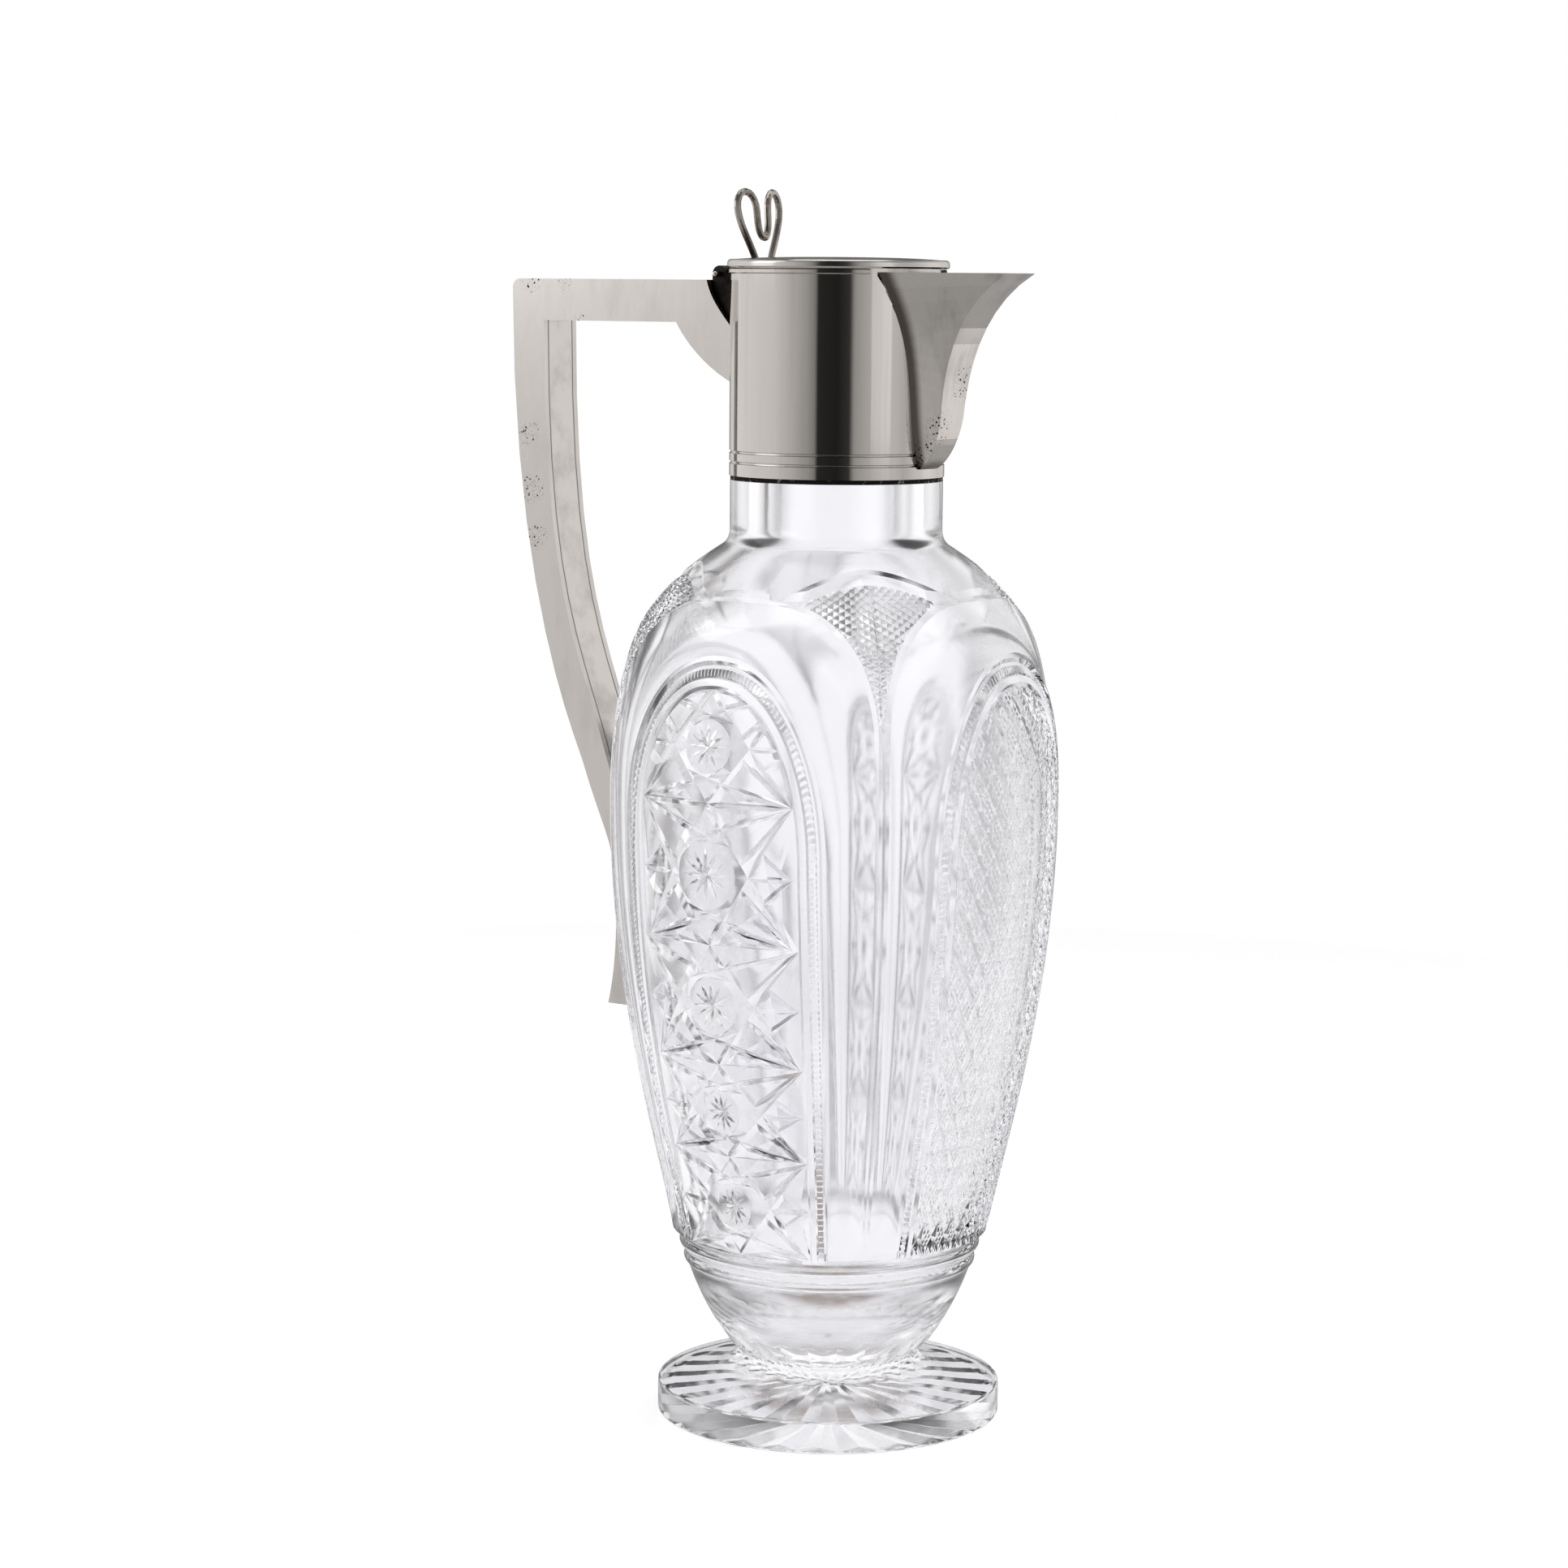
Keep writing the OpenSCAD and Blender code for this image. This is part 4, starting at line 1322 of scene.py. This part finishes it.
@dataclass
class Mounts:
    """Collar, spout, handle, hinge and lid, which keep their CAD shapes."""

    bright: tuple[str, ...] = ("collar_band", "collar_rim_wire")
    spout: tuple[str, ...] = ("spout_side_left", "spout_side_right", "spout_front_strip")
    grip: tuple[str, ...] = ("handle_side_left", "handle_side_right", "handle_toe_cap")
    strips: tuple[str, ...] = ("handle_top_strip", "handle_back_strip", "handle_under_strip",
                               "handle_front_strip", "handle_bracket_strip")
    # hinge parts in the dark notch by the lid; their near-black finish is painted shade
    dark: tuple[str, ...] = ("hinge_block", "hinge_knuckles", "lid_hinge_leaf")
    lid: tuple[str, ...] = ("lid_rim", "lid_bezel", "hinge_pin")
    # lid plate and thumbpiece, darkened by painted shade in their finish
    shaded_lid_parts: tuple[str, ...] = ("lid_plate", "thumbpiece")

    def dress(self) -> None:
        """Give each CAD node its finish."""
        groups = (
            (self.bright, SilverPlate("silver_collar", roughness=0.08, grain=(1, 1, 0.04))),
            (self.spout, SilverPlate("silver_spout", shade="5c5650", roughness=0.2, tarnish_and_shade=0.35,
                                     seam=(26.8, 29.0), grain=(1, 1, 0.2),
                                     worn=((34, -5, 241, 9), (36, 3, 252, 8), (47, -12, 274.5, 7),
                                           (29, -6, 236, 6)))),
            (self.grip, SilverPlate("silver_handle", shade="76706a", roughness=0.24, tarnish_and_shade=0.16,
                                    grain=(1, 1, 0.3),
                                    worn=((-88, -7, 238, 5), (-87, -7, 224, 6), (-85, -7, 212, 5),
                                          (-87, -7, 276, 5), (-77, -7, 276, 4), (-63, -7, 177, 6),
                                          (-72, -7, 266, 3)))),
            (self.strips, SilverPlate("silver_strip", shade="4a443e", roughness=0.2, tarnish_and_shade=0.2,
                                      seam=(5.1, 4.4), seam_axes=(0.0, 1.0, 0.0))),
            # hinge parts: the near-black tone and streaks are painted shade for the dark notch where the
            # hinge sits; the pits are wear
            (self.dark, SilverPlate("silver_hinge_painted_shade", tone="2a2521", shade="110e0c",
                                    roughness=0.42, tarnish_and_shade=0.8, pit_amount=1.0)),
            (self.lid, SilverPlate("silver_lid", roughness=0.2, grain=(0.05, 1, 1))),
            # lid plate and thumbpiece: the darker tone and heavy dark streaks are painted shade standing
            # for the dark reflections on them; the pits are wear
            (self.shaded_lid_parts, SilverPlate("silver_lid_painted_shade", tone="aaa49d", shade="3d3833", roughness=0.16,
                                    tarnish_and_shade=0.8, pit_amount=1.0)),
        )
        for nodes, finish in groups:
            material = finish.build()
            for node in nodes:
                dress(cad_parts[node], material)
                log.info("%s: %s", node, material.name)
        dress(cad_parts["plaster_bed"], RoughPlaster().build())


# ---------------------------------------------------------------- studio


@dataclass
class Studio:
    """Camera, lights, floor and surround."""

    azimuth: float = 33.0
    distance: float = 951.8
    height: float = 275.6
    pitch: float = 7.218
    yaw: float = 0.725
    roll: float = 0.461
    focal_px: float = 4868.0
    sensor: float = 36.0
    mirrored: tuple[Point2, ...] = ((-180, 0.02), (-159, 0.03), (-156, 0.3), (-146, 0.5), (-127, 0.72),
                                    (-114, 0.86), (-96, 0.92), (-53, 1.05), (-24, 0.85), (-10, 0.2),
                                    (10, 0.2), (24, 0.8), (66, 1.1), (104, 0.66), (125, 0.86),
                                    (144, 0.66), (162, 0.45), (167, 0.05), (180, 0.02))
    through: tuple[Point2, ...] = ((-180, 0.3), (-160, 0.25), (-135, 0.5), (-105, 0.92), (-75, 0.5),
                                   (-52, 0.96), (-36, 0.72), (-20, 1.06), (20, 1.06), (36, 0.72),
                                   (52, 0.96), (75, 0.5), (105, 0.92), (135, 0.5), (160, 0.25),
                                   (180, 0.3))
    ceiling: tuple[float, float, float, float] = (0.3, 0.75, 1.0, 0.3)
    warm: Point3 = (1.0, 0.982, 0.97)
    cool: Point3 = (0.995, 0.99, 1.0)
    floor_r: float = 500.0
    floor_back: float = 250.0
    lamps: tuple[tuple[str, Point3, Point2, float], ...] = (
        ("lamp_left", (-0.9, -0.7, 0.7), (0.7, 0.9), 2.5),
        ("lamp_right", (1.1, -0.2, 0.6), (0.5, 0.9), 0.4),
        ("lamp_top", (0.0, 0.1, 1.3), (1.0, 1.0), 4.0))

    def camera(self) -> None:
        """Put the camera where the photograph was taken from."""
        turn = math.radians(self.azimuth)
        back = Vector((math.sin(turn), -math.cos(turn), 0))
        right = Vector((math.cos(turn), math.sin(turn), 0))
        spin = math.radians(self.yaw)
        ahead = -back * math.cos(spin) - right * math.sin(spin)
        side = right * math.cos(spin) - back * math.sin(spin)
        tip = math.radians(self.pitch)
        lift = Vector((0, 0, 1))
        view = ahead * math.cos(tip) - lift * math.sin(tip)
        crown = lift * math.cos(tip) + ahead * math.sin(tip)
        lean = math.radians(self.roll)
        x_axis = side * math.cos(lean) + crown * math.sin(lean)
        y_axis = crown * math.cos(lean) - side * math.sin(lean)
        data = bpy.data.cameras.new("camera")
        data.sensor_width = self.sensor
        data.lens = self.sensor * self.focal_px / PHOTO_PX
        data.clip_start = 0.01
        camera = bpy.data.objects.new("camera", data)
        place = back * self.distance + Vector((0, 0, self.height))
        matrix = Matrix((x_axis, y_axis, -view)).transposed().to_4x4()
        matrix.translation = place * MM
        camera.matrix_world = matrix
        bpy.context.scene.collection.objects.link(camera)
        bpy.context.scene.camera = camera

    def lamp(self, name: str, place: Point3, size: Point2, power: float) -> None:
        """Hang a soft rectangular lamp that faces the jug's middle."""
        data = bpy.data.lights.new(name, "AREA")
        data.shape = "RECTANGLE"
        data.size, data.size_y = size
        data.energy = power
        lamp = bpy.data.objects.new(name, data)
        lamp.location = place
        aim = Vector((0, 0, 0.15)) - Vector(place)
        lamp.rotation_euler = aim.to_track_quat("-Z", "Y").to_euler()
        bpy.context.scene.collection.objects.link(lamp)

    def surround(self) -> None:
        """White for the camera, one ring of light for reflections and another for all other rays."""
        world = bpy.data.worlds.new("studio")
        world.use_nodes = True
        bpy.context.scene.world = world
        world.node_tree.nodes.clear()
        graph = Graph(world.node_tree)
        place = graph.add("ShaderNodeTexCoord", output="Generated")
        turn = math.radians(self.azimuth)
        ahead = graph.measure("DOT_PRODUCT", place, (-math.sin(turn), math.cos(turn), 0.0))
        side = graph.measure("DOT_PRODUCT", place, (math.cos(turn), math.sin(turn), 0.0))
        bearing = graph.add("ShaderNodeMath", {"operation": "ARCTAN2"}, [side, ahead])

        def levels(stops: Sequence[Point2], tint: Point3) -> Wire:
            """Brightness round the studio, by degrees clockwise from behind the jug."""
            share = graph.add("ShaderNodeMapRange", None, [bearing, -math.pi, math.pi])
            tone = graph.add("ShaderNodeValToRGB", None, [share])
            elements = tone.socket.node.color_ramp.elements
            for degrees, _ in stops[1:-1]:
                elements.new((degrees + 180) / 360)
            for element, (_, level) in zip(elements, stops):
                element.color = (*(level * part for part in tint), 1)
            return tone

        height = graph.add("ShaderNodeSeparateXYZ", None, [place], "Z")
        ceiling = graph.add("ShaderNodeMapRange", None, [height, *self.ceiling])
        dimmed = graph.add("ShaderNodeVectorMath", {"operation": "SCALE"},
                           {0: levels(self.mirrored, self.warm), "Scale": ceiling})
        seen, glossy, refracted = (graph.add("ShaderNodeLightPath", output=kind) for kind in
                                   ("Is Camera Ray", "Is Glossy Ray", "Is Transmission Ray"))
        lit = graph.blend(glossy - refracted, levels(self.through, self.cool), dimmed)
        glow = graph.add("ShaderNodeBackground", None, [graph.blend(seen, lit, (1, 1, 1, 1))])
        graph.put(graph.nodes.new("ShaderNodeOutputWorld").inputs[0], glow)

    def floor(self) -> None:
        """A pale floor that reads white and keeps the jug's shadow."""
        turn = math.radians(self.azimuth)
        back = (-self.floor_back * math.sin(turn), self.floor_back * math.cos(turn))
        edge = quarter(back, self.floor_r, 0, 360, 96)[:-1]
        floor = to_object("floor", [(x, y, 0) for x, y in edge], [range(len(edge))])
        mix = Recipe("floor_paper")
        rays = [mix.add("ShaderNodeLightPath", output=kind)
                for kind in ("Is Camera Ray", "Is Transmission Ray", "Is Glossy Ray")]
        mix.feed(Base_Color=mix.blend(rays[2] - rays[1], (0.88, 0.88, 0.88, 1), (0.55, 0.54, 0.53, 1)))
        mix.feed(Roughness=0.3, Specular_IOR_Level=0.5)
        mix.feed(Emission_Color=(1, 1, 1, 1), Emission_Strength=rays[0] * 0.4 + rays[1] * 0.25)
        dress(floor, mix.material)

    def build(self) -> None:
        """Set the whole studio up."""
        view = bpy.context.scene.view_settings
        view.view_transform = "Standard"
        self.camera()
        self.surround()
        self.floor()
        for lamp in self.lamps:
            self.lamp(*lamp)


def main() -> None:
    """Build every piece and report it."""
    logging.basicConfig(level=logging.INFO, format="%(message)s")
    Studio().build()
    copies = TurnedCopies()
    body = GlassBody().build(copies, PolishedGlass().build())
    log.info("%s built", body.name)
    Mounts().dress()


if __name__ == "__main__":
    main()
